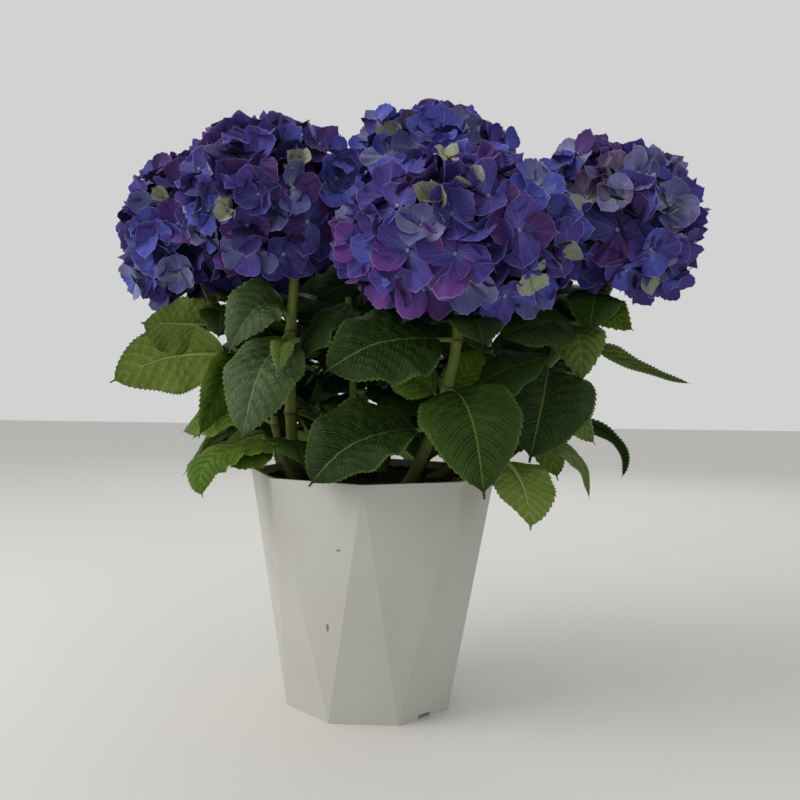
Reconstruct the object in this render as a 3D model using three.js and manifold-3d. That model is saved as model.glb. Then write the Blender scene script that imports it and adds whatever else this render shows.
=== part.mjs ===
// A mophead hydrangea, grown in a faceted plastic pot. Millimetres, +Z up.
// The origin is the middle of the pot's flat underside, and -Y is the side that the plant shows.
// Canes rise from the soil, each with a leafy shoot on it. Seven shoots bear a round head of florets.
import * as THREE from 'three';
import { mergeVertices } from 'three/addons/utils/BufferGeometryUtils.js';
import Module from 'manifold-3d';

const wasm = await Module();
wasm.setup();

// Driving dimensions
const POT = { sides: 8, height: 164, rimRadius: 87.5, footRadius: 61, wall: 3, floor: 5, turn: -2.5 };
const NOTCH = { width: 11, height: 3, depth: 5, sides: [1, 5], over: 1 };
const SOIL = { top: 156, wallGap: 0.5, floorGap: 0.4 };
const GAP = 0.3;
const CANE = { flare: 5.8, foot: 4.2, top: 3.2, flareHeight: 9, sides: 6, step: 22, bareSteps: 3 };
const BLIND_TAPER = 0.72;
const LEAF = { thick: 1.1, petiole: 0.14, petioleRadius: 1.6, fold: 14, stations: [0.12, 0.42, 0.78] };
const FLORET = {
  radius: 21.5, waist: 0.58, cup: 1.4, thick: 0.9, neck: 1.8, tilt: 0.2,
  seat: [0.9, 0.97], scale: [0.9, 1.06],
};
const HEAD = {
  spread: 140, lift: 0.35, border: 0.12,
  core: 0.74, coreRings: 5, coreSides: 9, rooting: 0.8,
  stalkBend: 0.4, stalkReach: 0.85, stalkSteps: 3,
};
const CLEAR = {
  otherShoot: 9, sameShoot: 6, stem: 7, nearStem: 0.34, head: 1.02, pot: 4,
  stemSteps: 16, leafRows: 11, leafColumns: [-1, -0.67, -0.33, 0, 0.33, 0.67, 1],
  petiolePoints: [0.4, 0.8],
};
const FINE = { merged: 1e-4, simplified: 0.02, overlap: 1e-6, halvings: 40 };
const GOLDEN_ANGLE = Math.PI * (3 - Math.sqrt(5));

// Each stem: its foot on the soil, a knee that it passes half way, and its end under the head.
// bare is the height at which the bare cane ends and the leafy shoot begins.
// leaves: [height of the leaf's root, tip x, y, z, width, arch, roll in degrees, bow]. The arch
// lifts the leaf's middle, and the bow draws it to the right, both in millimetres.
// pairs: heights of the opposite leaf pairs that the seeded rule adds, the first at heading turn.
const STEMS = [
  {
    name: 'front', foot: [24, -36], knee: [47, -58, 215], end: [56, -63, 268], bare: 182,
    head: { centre: [56, -70, 321], size: [84, 72, 60], florets: 42 },
    leaves: [
      [206, -38, -98, 167, 72, 10, 32],
      [226, 71, -118, 162, 68, 17, -14],
      [212, 115, -64, 250, 46, 2, -40],
      [256, -28, -106, 238, 68, 6, 40],
      [264, 69, -114, 254, 38, 10, 0],
    ],
    pairs: [], turn: 0,
  },
  {
    name: 'front_left', foot: [-54, -14], knee: [-56, -32, 230], end: [-53, -38, 300], bare: 190,
    head: { centre: [-73, -36, 349], size: [60, 60, 59], florets: 28 },
    leaves: [
      [236, -17, -40, 284, 56, 4, -30],
      [250, -57, -88, 234, 24, 10, 0],
      [262, -82, -84, 192, 54, 10, 14],
      [268, -94, -66, 247, 46, 21, 46],
    ],
    pairs: [206], turn: 70,
  },
  {
    name: 'far_left', foot: [-44, 14], knee: [-92, 18, 236], end: [-122, 22, 288], bare: 178,
    head: { centre: [-134, 18, 331], size: [53, 56, 63], florets: 26 },
    leaves: [
      [244, -193, 14, 226, 58, 9, -62],
      [242, -112, -54, 190, 32, 14, 56],
      [268, -162, -22, 268, 48, -1, -56],
      [274, -105, -32, 258, 30, 8, 10],
      [280, -98, -18, 282, 22, 8, 20],
    ],
    pairs: [194, 214], turn: 100,
  },
  {
    name: 'centre', foot: [6, 20], knee: [22, 32, 250], end: [38, 43, 344], bare: 176,
    head: { centre: [40, 45, 386], size: [67, 62, 51], florets: 30 },
    leaves: [
      [302, -46, 6, 288, 50, 6, 55],
    ],
    pairs: [192, 222, 252, 284, 312], turn: 75,
  },
  {
    name: 'right', foot: [42, -6], knee: [112, -12, 230], end: [164, -10, 296], bare: 176,
    head: { centre: [170, -14, 339], size: [60, 60, 59], florets: 28 },
    leaves: [
      [240, 103, -80, 181, 74, 14, 20, 4],
      [238, 162, 4, 184, 34, 4, -75],
      [250, 160, 34, 258, 44, 8, -50],
      [258, 139, 18, 296, 36, 4, 0],
      [260, 141, -44, 230, 38, 17, -14],
      [264, 229, 0, 230, 18, -6, -60],
      [270, 82, -76, 261, 46, 3, 40],
      [284, 144, -47, 263, 38, 14, 10],
      [292, 175, -42, 266, 28, 2, -24, -9],
    ],
    pairs: [206, 228], turn: 160,
  },
  {
    name: 'back_left', foot: [-18, 44], knee: [-52, 82, 228], end: [-74, 104, 276], bare: 178,
    head: { centre: [-84, 112, 328], size: [52, 54, 54], florets: 23 },
    leaves: [],
    pairs: [192, 216, 242, 264], turn: 30,
  },
  {
    name: 'back_right', foot: [32, 42], knee: [70, 84, 224], end: [94, 108, 268], bare: 178,
    head: { centre: [98, 114, 320], size: [56, 55, 54], florets: 24 },
    leaves: [
      [248, 146, 50, 272, 44, 6, -50],
    ],
    pairs: [192, 216, 240, 260], turn: 60,
  },
  {
    name: 'low_left', foot: [-52, -34], knee: [-62, -38, 184], end: [-66, -40, 204], bare: 172,
    leaves: [
      [184, -109, -74, 153, 36, 11, 12, -18],
      [185, -84, -60, 181, 26, 0, 0],
      [186, -40, -74, 176, 34, 6, 10],
      [198, -136, -14, 191, 32, 8, 40],
    ],
    pairs: [], turn: 0,
  },
  {
    name: 'low_right', foot: [56, -24], knee: [97, -36, 188], end: [109, -40, 208], bare: 172,
    leaves: [
      [177, 101, -84, 135, 46, 8, 180, 6],
      [190, 149, -44, 150, 26, 10, -20, 12],
    ],
    pairs: [], turn: 0,
  },
  {
    name: 'middle', foot: [-14, -14], knee: [-14, -16, 222], end: [-18, -20, 286], bare: 176,
    leaves: [
      [238, -46, 10, 224, 42, 8, 40],
      [238, 22, -24, 230, 40, 8, -30],
      [262, -55, 12, 262, 38, 4, 42],
      [272, 28, -2, 264, 46, 9, -50],
    ],
    pairs: [194, 212], turn: 20,
  },
  {
    name: 'side_left', foot: [-58, 32], knee: [-92, 60, 200], end: [-112, 74, 232], bare: 176,
    leaves: [],
    pairs: [184, 206, 228], turn: 10,
  },
  {
    name: 'side_right', foot: [58, 22], knee: [106, 44, 200], end: [138, 56, 238], bare: 176,
    leaves: [
      [214, 180, 10, 159, 16, 5, -50, 30],
    ],
    pairs: [186, 210, 235], turn: 90,
  },
  {
    name: 'back_low', foot: [6, 60], knee: [8, 92, 192], end: [10, 110, 224], bare: 174,
    leaves: [],
    pairs: [180, 200, 220], turn: 80,
  },
];

// The seeded rule's leaves: reach in millimetres, droop below the level and roll in degrees.
// They keep to their room, behind and between the leaves with a set place. Beside the pot they
// hang no lower than the room's low limit.
const PAIR = {
  reach: [72, 94], droop: [10, 40], width: 0.64, arch: [8, 16], roll: [-16, 16], sway: [-12, 12],
  room: { left: -142, right: 160, front: -46, low: 156 },
};
// What a leaf tries in turn where it has no room: more droop, a turn, and a share of its size.
const RETRIES = [
  [0, 0, 1], [14, 0, 1], [-16, 0, 1], [0, 24, 1], [0, -24, 1], [16, 40, 0.8], [-14, -40, 0.8],
  [26, 12, 0.8], [-24, 10, 0.8], [10, 20, 0.62], [-10, -20, 0.62], [34, -8, 0.62], [-36, 0, 0.62],
];

const COLOURS = {
  pot: 0xb9b8ac, soil: 0x1d1713, cane: 0x6f7f3c, leaf: 0x2c4a1d, bloom: 0x4a3f9c,
};
const material = (colour, roughness) =>
  new THREE.MeshStandardMaterial({ color: colour, roughness, metalness: 0, flatShading: true });
const MATERIALS = {
  pot: material(COLOURS.pot, 0.5),
  soil: material(COLOURS.soil, 0.95),
  cane: material(COLOURS.cane, 0.6),
  leaf: material(COLOURS.leaf, 0.45),
  bloom: material(COLOURS.bloom, 0.7),
};

const vec = (p) => new THREE.Vector3(...p);
const UP = new THREE.Vector3(0, 0, 1);
const ACROSS = new THREE.Vector3(1, 0, 0);
const radians = THREE.MathUtils.degToRad;

// A small random generator with a seed, so that the plant is the same at each run.
function seeded(seed) {
  let state = seed >>> 0;
  return () => {
    state = (state + 0x6d2b79f5) >>> 0;
    let t = Math.imul(state ^ (state >>> 15), 1 | state);
    t = (t + Math.imul(t ^ (t >>> 7), 61 | t)) ^ t;
    return ((t ^ (t >>> 14)) >>> 0) / 4294967296;
  };
}
const between = (random, [low, high]) => low + (high - low) * random();

function geometryOf(points, faces) {
  const geometry = new THREE.BufferGeometry().setFromPoints(points);
  geometry.setIndex(faces.flat());
  return geometry;
}

// A closed geometry as a solid that can be joined and cut.
function solid(geometry) {
  const bare = geometry.clone();
  for (const name of ['normal', 'uv']) bare.deleteAttribute(name);
  const merged = mergeVertices(bare, FINE.merged);
  return new wasm.Manifold(
    new wasm.Mesh({
      numProp: 3,
      vertProperties: new Float32Array(merged.attributes.position.array),
      triVerts: new Uint32Array(merged.index.array),
    }),
  );
}

const join = (solids) => solids.reduce((whole, next) => whole.add(next));
const meets = (a, b) => a.intersect(b).volume() > FINE.overlap;

function meshOf(name, made, look) {
  const { vertProperties, triVerts } = made.simplify(FINE.simplified).getMesh();
  const geometry = new THREE.BufferGeometry();
  geometry.setAttribute('position', new THREE.BufferAttribute(new Float32Array(vertProperties), 3));
  geometry.setIndex(new THREE.BufferAttribute(new Uint32Array(triVerts), 1));
  geometry.computeVertexNormals();
  const mesh = new THREE.Mesh(geometry, look);
  mesh.name = name;
  return mesh;
}

// The pot's form: a rim polygon and a foot polygon turned by half a side, joined by triangles.
function facetedCup(rimRadius, footRadius, bottom, top) {
  const side = (2 * Math.PI) / POT.sides;
  const ring = (radius, z, turn) =>
    Array.from({ length: POT.sides }, (_, i) => {
      const a = (i + turn) * side + radians(POT.turn);
      return new THREE.Vector3(radius * Math.sin(a), -radius * Math.cos(a), z);
    });
  const points = [
    ...ring(footRadius, bottom, 0.5), ...ring(rimRadius, top, 0),
    new THREE.Vector3(0, 0, bottom), new THREE.Vector3(0, 0, top),
  ];
  const [underside, mouth] = [2 * POT.sides, 2 * POT.sides + 1];
  const faces = [];
  for (let i = 0; i < POT.sides; i++) {
    const next = (i + 1) % POT.sides;
    const [foot, footNext, rim, rimNext] = [i, next, POT.sides + i, POT.sides + next];
    faces.push([rim, foot, rimNext], [foot, footNext, rimNext]);
    faces.push([underside, footNext, foot], [mouth, rim, rimNext]);
  }
  return solid(geometryOf(points, faces));
}

function box(size, centre, turn = 0) {
  return solid(new THREE.BoxGeometry(...size).rotateZ(turn).translate(...centre));
}

// The inside of the cup keeps the wall's thickness and is open at the top.
function potInside(inset, bottom, top) {
  const share = (z) => z / POT.height;
  const radiusAt = (z) => POT.footRadius + (POT.rimRadius - POT.footRadius) * share(z) - inset;
  return facetedCup(radiusAt(top), POT.footRadius - inset, bottom, top);
}

function makePot() {
  const outer = facetedCup(POT.rimRadius, POT.footRadius, 0, POT.height);
  let pot = outer.subtract(potInside(POT.wall, POT.floor, POT.height + 1));
  const flat = POT.footRadius * Math.cos(Math.PI / POT.sides);
  for (const side of NOTCH.sides) {
    const a = (side * 2 * Math.PI) / POT.sides + radians(POT.turn);
    const reach = flat - NOTCH.depth / 2 + NOTCH.over;
    const centre = [reach * Math.sin(a), -reach * Math.cos(a), NOTCH.height / 2 - NOTCH.over];
    const size = [NOTCH.width, NOTCH.depth + 2 * NOTCH.over, NOTCH.height + 2 * NOTCH.over];
    pot = pot.subtract(box(size, centre, a));
  }
  return pot;
}

function makeSoil() {
  const fill = potInside(POT.wall + SOIL.wallGap, POT.floor + SOIL.floorGap, POT.height);
  const [width, above] = [2 * POT.rimRadius, POT.height - SOIL.top];
  return fill.subtract(box([width, width, 2 * above], [0, 0, SOIL.top + above]));
}

// A tapering limb along a stretch of a curve, closed at both ends. A flat foot is cut level.
function limb(curve, from, to, radiusAt, sides, steps, flatFoot = false) {
  const points = [];
  const faces = [];
  for (let i = 0; i <= steps; i++) {
    const u = from + ((to - from) * i) / steps;
    const [centre, along] = [curve.getPoint(u), curve.getTangent(u)];
    const side = new THREE.Vector3().crossVectors(along, new THREE.Vector3(0, 1, 0.01)).normalize();
    const other = new THREE.Vector3().crossVectors(along, side);
    for (let k = 0; k < sides; k++) {
      const a = (k * 2 * Math.PI) / sides;
      const out = side.clone().multiplyScalar(Math.cos(a)).addScaledVector(other, Math.sin(a));
      const corner = centre.clone().addScaledVector(out, radiusAt(u));
      if (flatFoot && i === 0) corner.z = centre.z;
      points.push(corner);
    }
  }
  for (let i = 0; i < steps; i++) {
    for (let k = 0; k < sides; k++) {
      const [a, b] = [i * sides + k, i * sides + ((k + 1) % sides)];
      faces.push([a, b, a + sides], [b, b + sides, a + sides]);
    }
  }
  for (let k = 1; k < sides - 1; k++) {
    faces.push([0, k + 1, k], [steps * sides, steps * sides + k, steps * sides + k + 1]);
  }
  return solid(geometryOf(points, faces));
}

// The curve of a stem: it starts at the foot, passes the knee half way and stops at its end.
function stemCurve(stem) {
  const foot = vec([...stem.foot, SOIL.top + GAP]);
  const end = vec(stem.end);
  const bend = vec(stem.knee).multiplyScalar(2).addScaledVector(foot, -0.5).addScaledVector(end, -0.5);
  return new THREE.QuadraticBezierCurve3(foot, bend, end);
}

// The share of the curve at which it reaches a height.
function shareAtHeight(curve, z) {
  let [low, high] = [0, 1];
  for (let i = 0; i < FINE.halvings; i++) {
    const middle = (low + high) / 2;
    if (curve.getPoint(middle).z < z) low = middle;
    else high = middle;
  }
  return (low + high) / 2;
}

// A stem's radius at a share of its curve: an even taper, with a flare at the soil.
function stemRadius(stem, curve) {
  const scale = stem.head ? 1 : BLIND_TAPER;
  const flareEnd = shareAtHeight(curve, SOIL.top + CANE.flareHeight);
  return (u) => {
    const flare = (CANE.flare - CANE.foot) * Math.max(0, 1 - u / flareEnd) ** 2;
    return scale * (CANE.foot + (CANE.top - CANE.foot) * u + flare);
  };
}

// A leaf runs on an arch from its root on the stem to its tip. The petiole is the first share of it.
// Its two halves rise from the midrib by the fold.
function leafFrame(leaf) {
  const middle = leaf.root.clone().add(leaf.tip).multiplyScalar(0.5);
  const curve = new THREE.QuadraticBezierCurve3(
    leaf.root, middle.addScaledVector(UP, 2 * leaf.arch).addScaledVector(ACROSS, 2 * leaf.bow), leaf.tip);
  const along = leaf.tip.clone().sub(leaf.root).normalize();
  const rise = UP.clone().addScaledVector(along, -UP.dot(along)).normalize();
  const side = new THREE.Vector3().crossVectors(along, rise);
  const roll = radians(leaf.roll);
  side.multiplyScalar(Math.cos(roll)).addScaledVector(rise, Math.sin(roll));
  return { curve, side };
}

// The blade's half width at a share of its length: broad and round, and drawn out to a point.
const bladeShape = (s) => Math.sin(Math.PI * s ** 0.85) ** 0.62 * (1 - 0.2 * s ** 6);
const bladeShare = (s) => LEAF.petiole + (1 - LEAF.petiole) * s;

// A point of the blade, s along it and t across it, and the way its face looks.
function bladePoint(leaf, frame, s, t) {
  const along = frame.curve.getTangent(bladeShare(s));
  const side = frame.side.clone().addScaledVector(along, -frame.side.dot(along)).normalize();
  const face = new THREE.Vector3().crossVectors(side, along);
  const half = (leaf.width / 2) * bladeShape(s);
  const fold = radians(LEAF.fold);
  const point = frame.curve.getPoint(bladeShare(s))
    .addScaledVector(side, t * half * Math.cos(fold))
    .addScaledVector(face, Math.abs(t) * half * Math.sin(fold));
  return { point, face };
}

// Points spread over a leaf, each with its share of the length, that stand for it in tests.
function leafSamples(leaf) {
  const frame = leafFrame(leaf);
  const found = CLEAR.petiolePoints
    .map((p) => [frame.curve.getPoint(p * LEAF.petiole), p * LEAF.petiole]);
  for (let i = 0; i < CLEAR.leafRows; i++) {
    const s = (i + 0.5) / CLEAR.leafRows;
    for (const t of CLEAR.leafColumns) found.push([bladePoint(leaf, frame, s, t).point, bladeShare(s)]);
  }
  return found;
}

function leafSolid(leaf) {
  const frame = leafFrame(leaf);
  const { stations, thick, petiole, petioleRadius } = LEAF;
  const points = [];
  const faces = [];
  for (const s of stations) {
    for (const t of [-1, 0, 1]) {
      const { point, face } = bladePoint(leaf, frame, s, t);
      points.push(point.clone().addScaledVector(face, thick / 2));
      points.push(point.clone().addScaledVector(face, -thick / 2));
    }
  }
  const base = points.push(bladePoint(leaf, frame, 0, 0).point) - 1;
  const tip = points.push(bladePoint(leaf, frame, 1, 0).point) - 1;
  // A ring runs over the top from the left edge to the right edge, and back under the blade.
  const ring = [0, 2, 4, 5, 3, 1];
  const last = (stations.length - 1) * 6;
  for (let k = 0; k < 6; k++) {
    const [a, b] = [ring[k], ring[(k + 1) % 6]];
    for (let i = 0; i < last; i += 6) faces.push([i + a, i + b, i + a + 6], [i + b, i + b + 6, i + a + 6]);
    faces.push([base, b, a], [tip, last + a, last + b]);
  }
  const stalk = limb(frame.curve, 0, bladeShare(stations[0] * 0.8), () => petioleRadius, 3, 1);
  return join([solid(geometryOf(points, faces)), stalk]);
}

// How deep a point is in a head's round form: under 1 is inside it.
function headDepth(head, point) {
  const [x, y, z] = head.centre.map((c, i) => (point.getComponent(i) - c) / head.size[i]);
  return Math.hypot(x, y, z);
}

function nearPot(point) {
  const radius = POT.footRadius + (POT.rimRadius - POT.footRadius) * (point.z / POT.height);
  return point.z < POT.height + CLEAR.pot && Math.hypot(point.x, point.y) < radius + CLEAR.pot;
}

// True if a leaf would leave its room: into a head, the pot, a stem or another leaf.
function leafClashes(leaf, owner, placed, curves) {
  for (const [point, u] of leafSamples(leaf)) {
    if (nearPot(point)) return true;
    if (STEMS.some(({ head }) => head && headDepth(head, point) < CLEAR.head)) return true;
    const far = u > CLEAR.nearStem;
    for (const [name, curve] of curves) {
      if (name === owner && !far) continue;
      for (let i = 0; i <= CLEAR.stemSteps; i++) {
        if (curve.getPoint(i / CLEAR.stemSteps).distanceTo(point) < CLEAR.stem) return true;
      }
    }
    for (const other of placed) {
      const own = other.owner === owner;
      const clear = own ? CLEAR.sameShoot : CLEAR.otherShoot;
      for (const [there, v] of other.samples) {
        if (own && (!far || v < CLEAR.nearStem)) continue;
        if (there.distanceTo(point) < clear) return true;
      }
    }
  }
  return false;
}

// True if a leaf of the seeded rule would stand in front of, out past or below those with a set place.
function outOfRoom(leaf) {
  const { left, right, front, low } = PAIR.room;
  return leafSamples(leaf).some(([{ x, y, z }]) =>
    x < left || x > right || y < front || (z < low && Math.abs(x) > POT.rimRadius));
}

// The leaves that the seeded rule grows: opposite pairs, each a quarter turn on from the last.
function growPairs(stem, seed, placed, curves) {
  const random = seeded(seed);
  const curve = curves.get(stem.name);
  stem.pairs.forEach((z, k) => {
    const root = curve.getPoint(shareAtHeight(curve, z));
    for (const half of [0, 180]) {
      const heading = stem.turn + 90 * k + half + between(random, PAIR.sway);
      const [reach, droop] = [between(random, PAIR.reach), between(random, PAIR.droop)];
      const [arch, roll] = [between(random, PAIR.arch), between(random, PAIR.roll)];
      for (const [lower, turn, share] of RETRIES) {
        const [a, d] = [radians(heading + turn), radians(droop + lower)];
        const way = new THREE.Vector3(Math.sin(a) * Math.cos(d), -Math.cos(a) * Math.cos(d), -Math.sin(d));
        const tip = root.clone().addScaledVector(way, reach * share);
        const width = reach * share * PAIR.width;
        const leaf = { root, tip, width, arch: arch * share, roll, bow: 0 };
        if (outOfRoom(leaf) || leafClashes(leaf, stem.name, placed, curves)) continue;
        placed.push({ owner: stem.name, leaf, samples: leafSamples(leaf) });
        break;
      }
    }
  });
}

// Every leaf of the plant: first those with a set place, then the seeded pairs.
function growLeaves(curves) {
  const placed = [];
  for (const stem of STEMS) {
    const curve = curves.get(stem.name);
    for (const [z, x, y, tipZ, width, arch, roll, bow = 0] of stem.leaves) {
      const root = curve.getPoint(shareAtHeight(curve, z));
      const leaf = { root, tip: new THREE.Vector3(x, y, tipZ), width, arch, roll, bow };
      placed.push({ owner: stem.name, leaf, samples: leafSamples(leaf) });
    }
  }
  STEMS.forEach((stem, i) => growPairs(stem, 101 + i, placed, curves));
  return placed;
}

// A floret: four sepals as one dished blade, with a thin stalk behind it.
function floretSolid(centre, out, spin, radius, stalk) {
  const aside = Math.abs(out.z) > 0.8 ? new THREE.Vector3(1, 0, 0) : UP;
  const across = new THREE.Vector3().crossVectors(out, aside).normalize();
  const other = new THREE.Vector3().crossVectors(out, across);
  const at = (a, r, lift) =>
    centre.clone().addScaledVector(across, r * Math.cos(a)).addScaledVector(other, r * Math.sin(a))
      .addScaledVector(out, lift);
  const points = [centre.clone()];
  for (let k = 0; k < 8; k++) {
    const notch = k % 2 === 1;
    const reach = radius * (notch ? FLORET.waist : 1);
    points.push(at(spin + (k * Math.PI) / 4, reach, notch ? -FLORET.cup : FLORET.cup));
  }
  const under = -FLORET.thick - 2 * FLORET.cup;
  for (let k = 0; k < 4; k++) points.push(at(spin + ((2 * k + 1) * Math.PI) / 4, FLORET.neck, under));
  points.push(at(0, 0, -stalk));
  const faces = [];
  for (let k = 0; k < 4; k++) {
    const [tip, notch, next] = [1 + 2 * k, 2 + 2 * k, 1 + ((2 * k + 2) % 8)];
    const [back, before] = [9 + k, 9 + ((k + 3) % 4)];
    faces.push([0, tip, notch], [0, notch, next]);
    faces.push([back, notch, tip], [back, tip, before], [back, next, notch], [13, back, before]);
  }
  return solid(geometryOf(points, faces));
}

// A head: a short stalk, a core, and florets set round it by the golden angle.
function makeHead({ head }, seed, curve, others) {
  const random = seeded(seed);
  const [centre, size, end] = [vec(head.centre), vec(head.size), curve.getPoint(1)];
  const start = end.clone().addScaledVector(curve.getTangent(1), GAP);
  const bend = start.clone().addScaledVector(curve.getTangent(1), start.distanceTo(centre) * HEAD.stalkBend);
  const stalk = new THREE.QuadraticBezierCurve3(start, bend, start.clone().lerp(centre, HEAD.stalkReach));
  const core = new THREE.SphereGeometry(1, HEAD.coreSides, HEAD.coreRings).rotateX(Math.PI / 2);
  core.scale(...head.size.map((r) => r * HEAD.core)).translate(...head.centre);
  let mass = join([solid(core), limb(stalk, 0, 1, () => CANE.top, CANE.sides, HEAD.stalkSteps)]);
  const axis = centre.clone().sub(end).normalize().lerp(UP, HEAD.lift).normalize();
  const turn = new THREE.Quaternion().setFromUnitVectors(UP, axis);
  const reach = 1 - Math.cos(radians(HEAD.spread));
  const rivals = STEMS.filter((stem) => stem.head && stem.head !== head);
  for (let i = 0; i < head.florets; i++) {
    const z = 1 - ((i + 0.5) / head.florets) * reach;
    const [a, r] = [i * GOLDEN_ANGLE + seed, Math.sqrt(1 - z * z)];
    const way = new THREE.Vector3(r * Math.cos(a), r * Math.sin(a), z).applyQuaternion(turn);
    const seat = between(random, FLORET.seat);
    const spot = centre.clone().add(way.clone().multiply(size).multiplyScalar(seat));
    const shake = new THREE.Vector3(random() - 0.5, random() - 0.5, random() - 0.5);
    const out = way.clone().divide(size).normalize().addScaledVector(shake, FLORET.tilt).normalize();
    const radius = FLORET.radius * between(random, FLORET.scale);
    const depth = (seat - HEAD.core * HEAD.rooting) * way.clone().multiply(size).length();
    const floret = floretSolid(spot, out, random() * Math.PI, radius, depth);
    if (rivals.some((rival) => headDepth(rival.head, spot) < headDepth(head, spot) + HEAD.border)) continue;
    if (others.some((other) => meets(other, floret))) continue;
    mass = mass.add(floret);
  }
  return mass;
}

const plant = new THREE.Group();
plant.add(meshOf('pot', makePot(), MATERIALS.pot));
plant.add(meshOf('soil', makeSoil(), MATERIALS.soil));

const curves = new Map(STEMS.map((stem) => [stem.name, stemCurve(stem)]));
const placed = growLeaves(curves);
const shoots = [];
for (const stem of STEMS) {
  const curve = curves.get(stem.name);
  const radius = stemRadius(stem, curve);
  const bareEnd = shareAtHeight(curve, stem.bare);
  const caneEnd = bareEnd - GAP / curve.getLength();
  const cane = limb(curve, 0, caneEnd, radius, CANE.sides, CANE.bareSteps, true);
  plant.add(meshOf('cane_' + stem.name, cane, MATERIALS.cane));
  const steps = Math.ceil((curve.getLength() * (1 - bareEnd)) / CANE.step);
  const leaves = placed.filter(({ owner }) => owner === stem.name).map(({ leaf }) => leafSolid(leaf));
  const shoot = join([limb(curve, bareEnd, 1, radius, CANE.sides, steps), ...leaves]);
  shoots.push(shoot);
  plant.add(meshOf('shoot_' + stem.name, shoot, MATERIALS.leaf));
}

const heads = [];
STEMS.forEach((stem, i) => {
  if (!stem.head) return;
  const head = makeHead(stem, 501 + i, curves.get(stem.name), [...shoots, ...heads]);
  heads.push(head);
  plant.add(meshOf('head_' + stem.name, head, MATERIALS.bloom));
});

export default plant;
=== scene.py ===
"""The looks of a potted mophead hydrangea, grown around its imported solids.

Lengths are millimetres until a mesh is made. +Z is up, and -Y is the side that the plant shows.
Stems, leaves and flower heads follow the rule of the solids, written again here, and are carried on
to veined leaves, single sepals and flower stalks within the same reach.
"""

import logging
import math
from collections.abc import Callable, Iterable, Sequence
from dataclasses import dataclass, field
from enum import Enum

import bmesh
import bpy
import numpy as np
from mathutils import Matrix, Vector


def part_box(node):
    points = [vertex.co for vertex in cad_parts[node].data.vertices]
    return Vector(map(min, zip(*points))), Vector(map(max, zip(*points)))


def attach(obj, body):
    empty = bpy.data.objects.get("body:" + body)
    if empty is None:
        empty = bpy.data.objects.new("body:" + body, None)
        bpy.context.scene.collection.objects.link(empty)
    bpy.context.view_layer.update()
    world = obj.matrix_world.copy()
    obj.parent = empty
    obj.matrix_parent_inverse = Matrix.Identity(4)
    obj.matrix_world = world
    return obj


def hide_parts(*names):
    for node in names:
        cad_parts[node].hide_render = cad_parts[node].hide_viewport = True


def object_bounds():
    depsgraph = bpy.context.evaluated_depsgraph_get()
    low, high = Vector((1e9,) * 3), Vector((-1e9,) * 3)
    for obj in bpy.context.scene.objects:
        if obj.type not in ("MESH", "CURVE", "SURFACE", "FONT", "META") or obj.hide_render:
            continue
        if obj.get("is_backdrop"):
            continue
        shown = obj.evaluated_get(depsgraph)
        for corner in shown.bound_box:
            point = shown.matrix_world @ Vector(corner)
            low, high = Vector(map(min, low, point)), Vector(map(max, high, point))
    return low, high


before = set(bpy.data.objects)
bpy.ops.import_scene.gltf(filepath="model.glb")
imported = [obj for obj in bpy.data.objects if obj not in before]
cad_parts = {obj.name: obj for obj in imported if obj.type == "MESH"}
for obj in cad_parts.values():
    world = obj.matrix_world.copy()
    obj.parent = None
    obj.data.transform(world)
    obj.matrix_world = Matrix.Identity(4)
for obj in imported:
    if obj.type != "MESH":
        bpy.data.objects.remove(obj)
CAD_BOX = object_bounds()

log = logging.getLogger("hydrangea")
Array = np.ndarray
Colour = tuple[float, float, float]
Number = "float | Wire"

MM = 0.001
CHART = "OFBake"
UP = np.array([0.0, 0.0, 1.0])
ACROSS = np.array([1.0, 0.0, 0.0])
GOLDEN_ANGLE = math.pi * (3 - math.sqrt(5))
WORD = 0xFFFFFFFF
STRIDE = 0x6D2B79F5


class Look(Enum):
    """The greens that leaves are dealt out in."""

    DEEP = "deep"
    MID = "mid"
    FRESH = "fresh"
    # Pale yellow-green leaves, their undersides brightened as painted light shining through.
    PALE = "pale"
    SATIN = "satin"


class Hue(Enum):
    """The colours that sepals are dealt out in."""

    INDIGO = "indigo"
    VIOLET = "violet"
    BLUE = "blue"
    MAGENTA = "magenta"
    PLUM = "plum"
    SLATE = "slate"
    MIST = "mist"
    GREEN = "green"
    HEARTED = "hearted"
    # Painted shade: near-black sepals for the florets deep inside a head, where only shade falls.
    NIGHT = "night"


DEEP, MID, FRESH, PALE, SATIN = Look
INDIGO, VIOLET, BLUE, MAGENTA, PLUM, SLATE, MIST, GREEN, HEARTED, NIGHT = Hue


@dataclass(frozen=True)
class SetLeaf:
    """A leaf with a set place: its root's height on the stem, its tip, width, arch and roll.

    The bow draws its middle to the right, and the pinch narrows its outer half. The lean lowers the
    root of its mesh and moves the middle to the right and up, a little off the solid's own run.
    """

    height: float
    tip: tuple[float, float, float]
    width: float
    arch: float
    roll: float
    look: Look = MID
    fold: float = 14.0
    twist: float = 0.0
    bow: float = 0.0
    pinch: float = 0.0
    lean: tuple[float, float, float] = (0.0, 0.0, 0.0)


@dataclass(frozen=True)
class SetBloom:
    """A floret with a set place, across and up from its head's centre as the front shows it."""

    across: float
    up: float
    radius: float
    spin: float
    inner: Hue
    outer: Hue
    cup: float = 0.12
    rim: float = 1.02


@dataclass(frozen=True)
class Head:
    """A round flower head: its centre, its half sizes, and how its florets are chosen."""

    centre: tuple[float, float, float]
    size: tuple[float, float, float]
    florets: int
    mood: tuple[tuple[float, Hue, Hue], ...]
    blooms: tuple[SetBloom, ...] = ()


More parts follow.
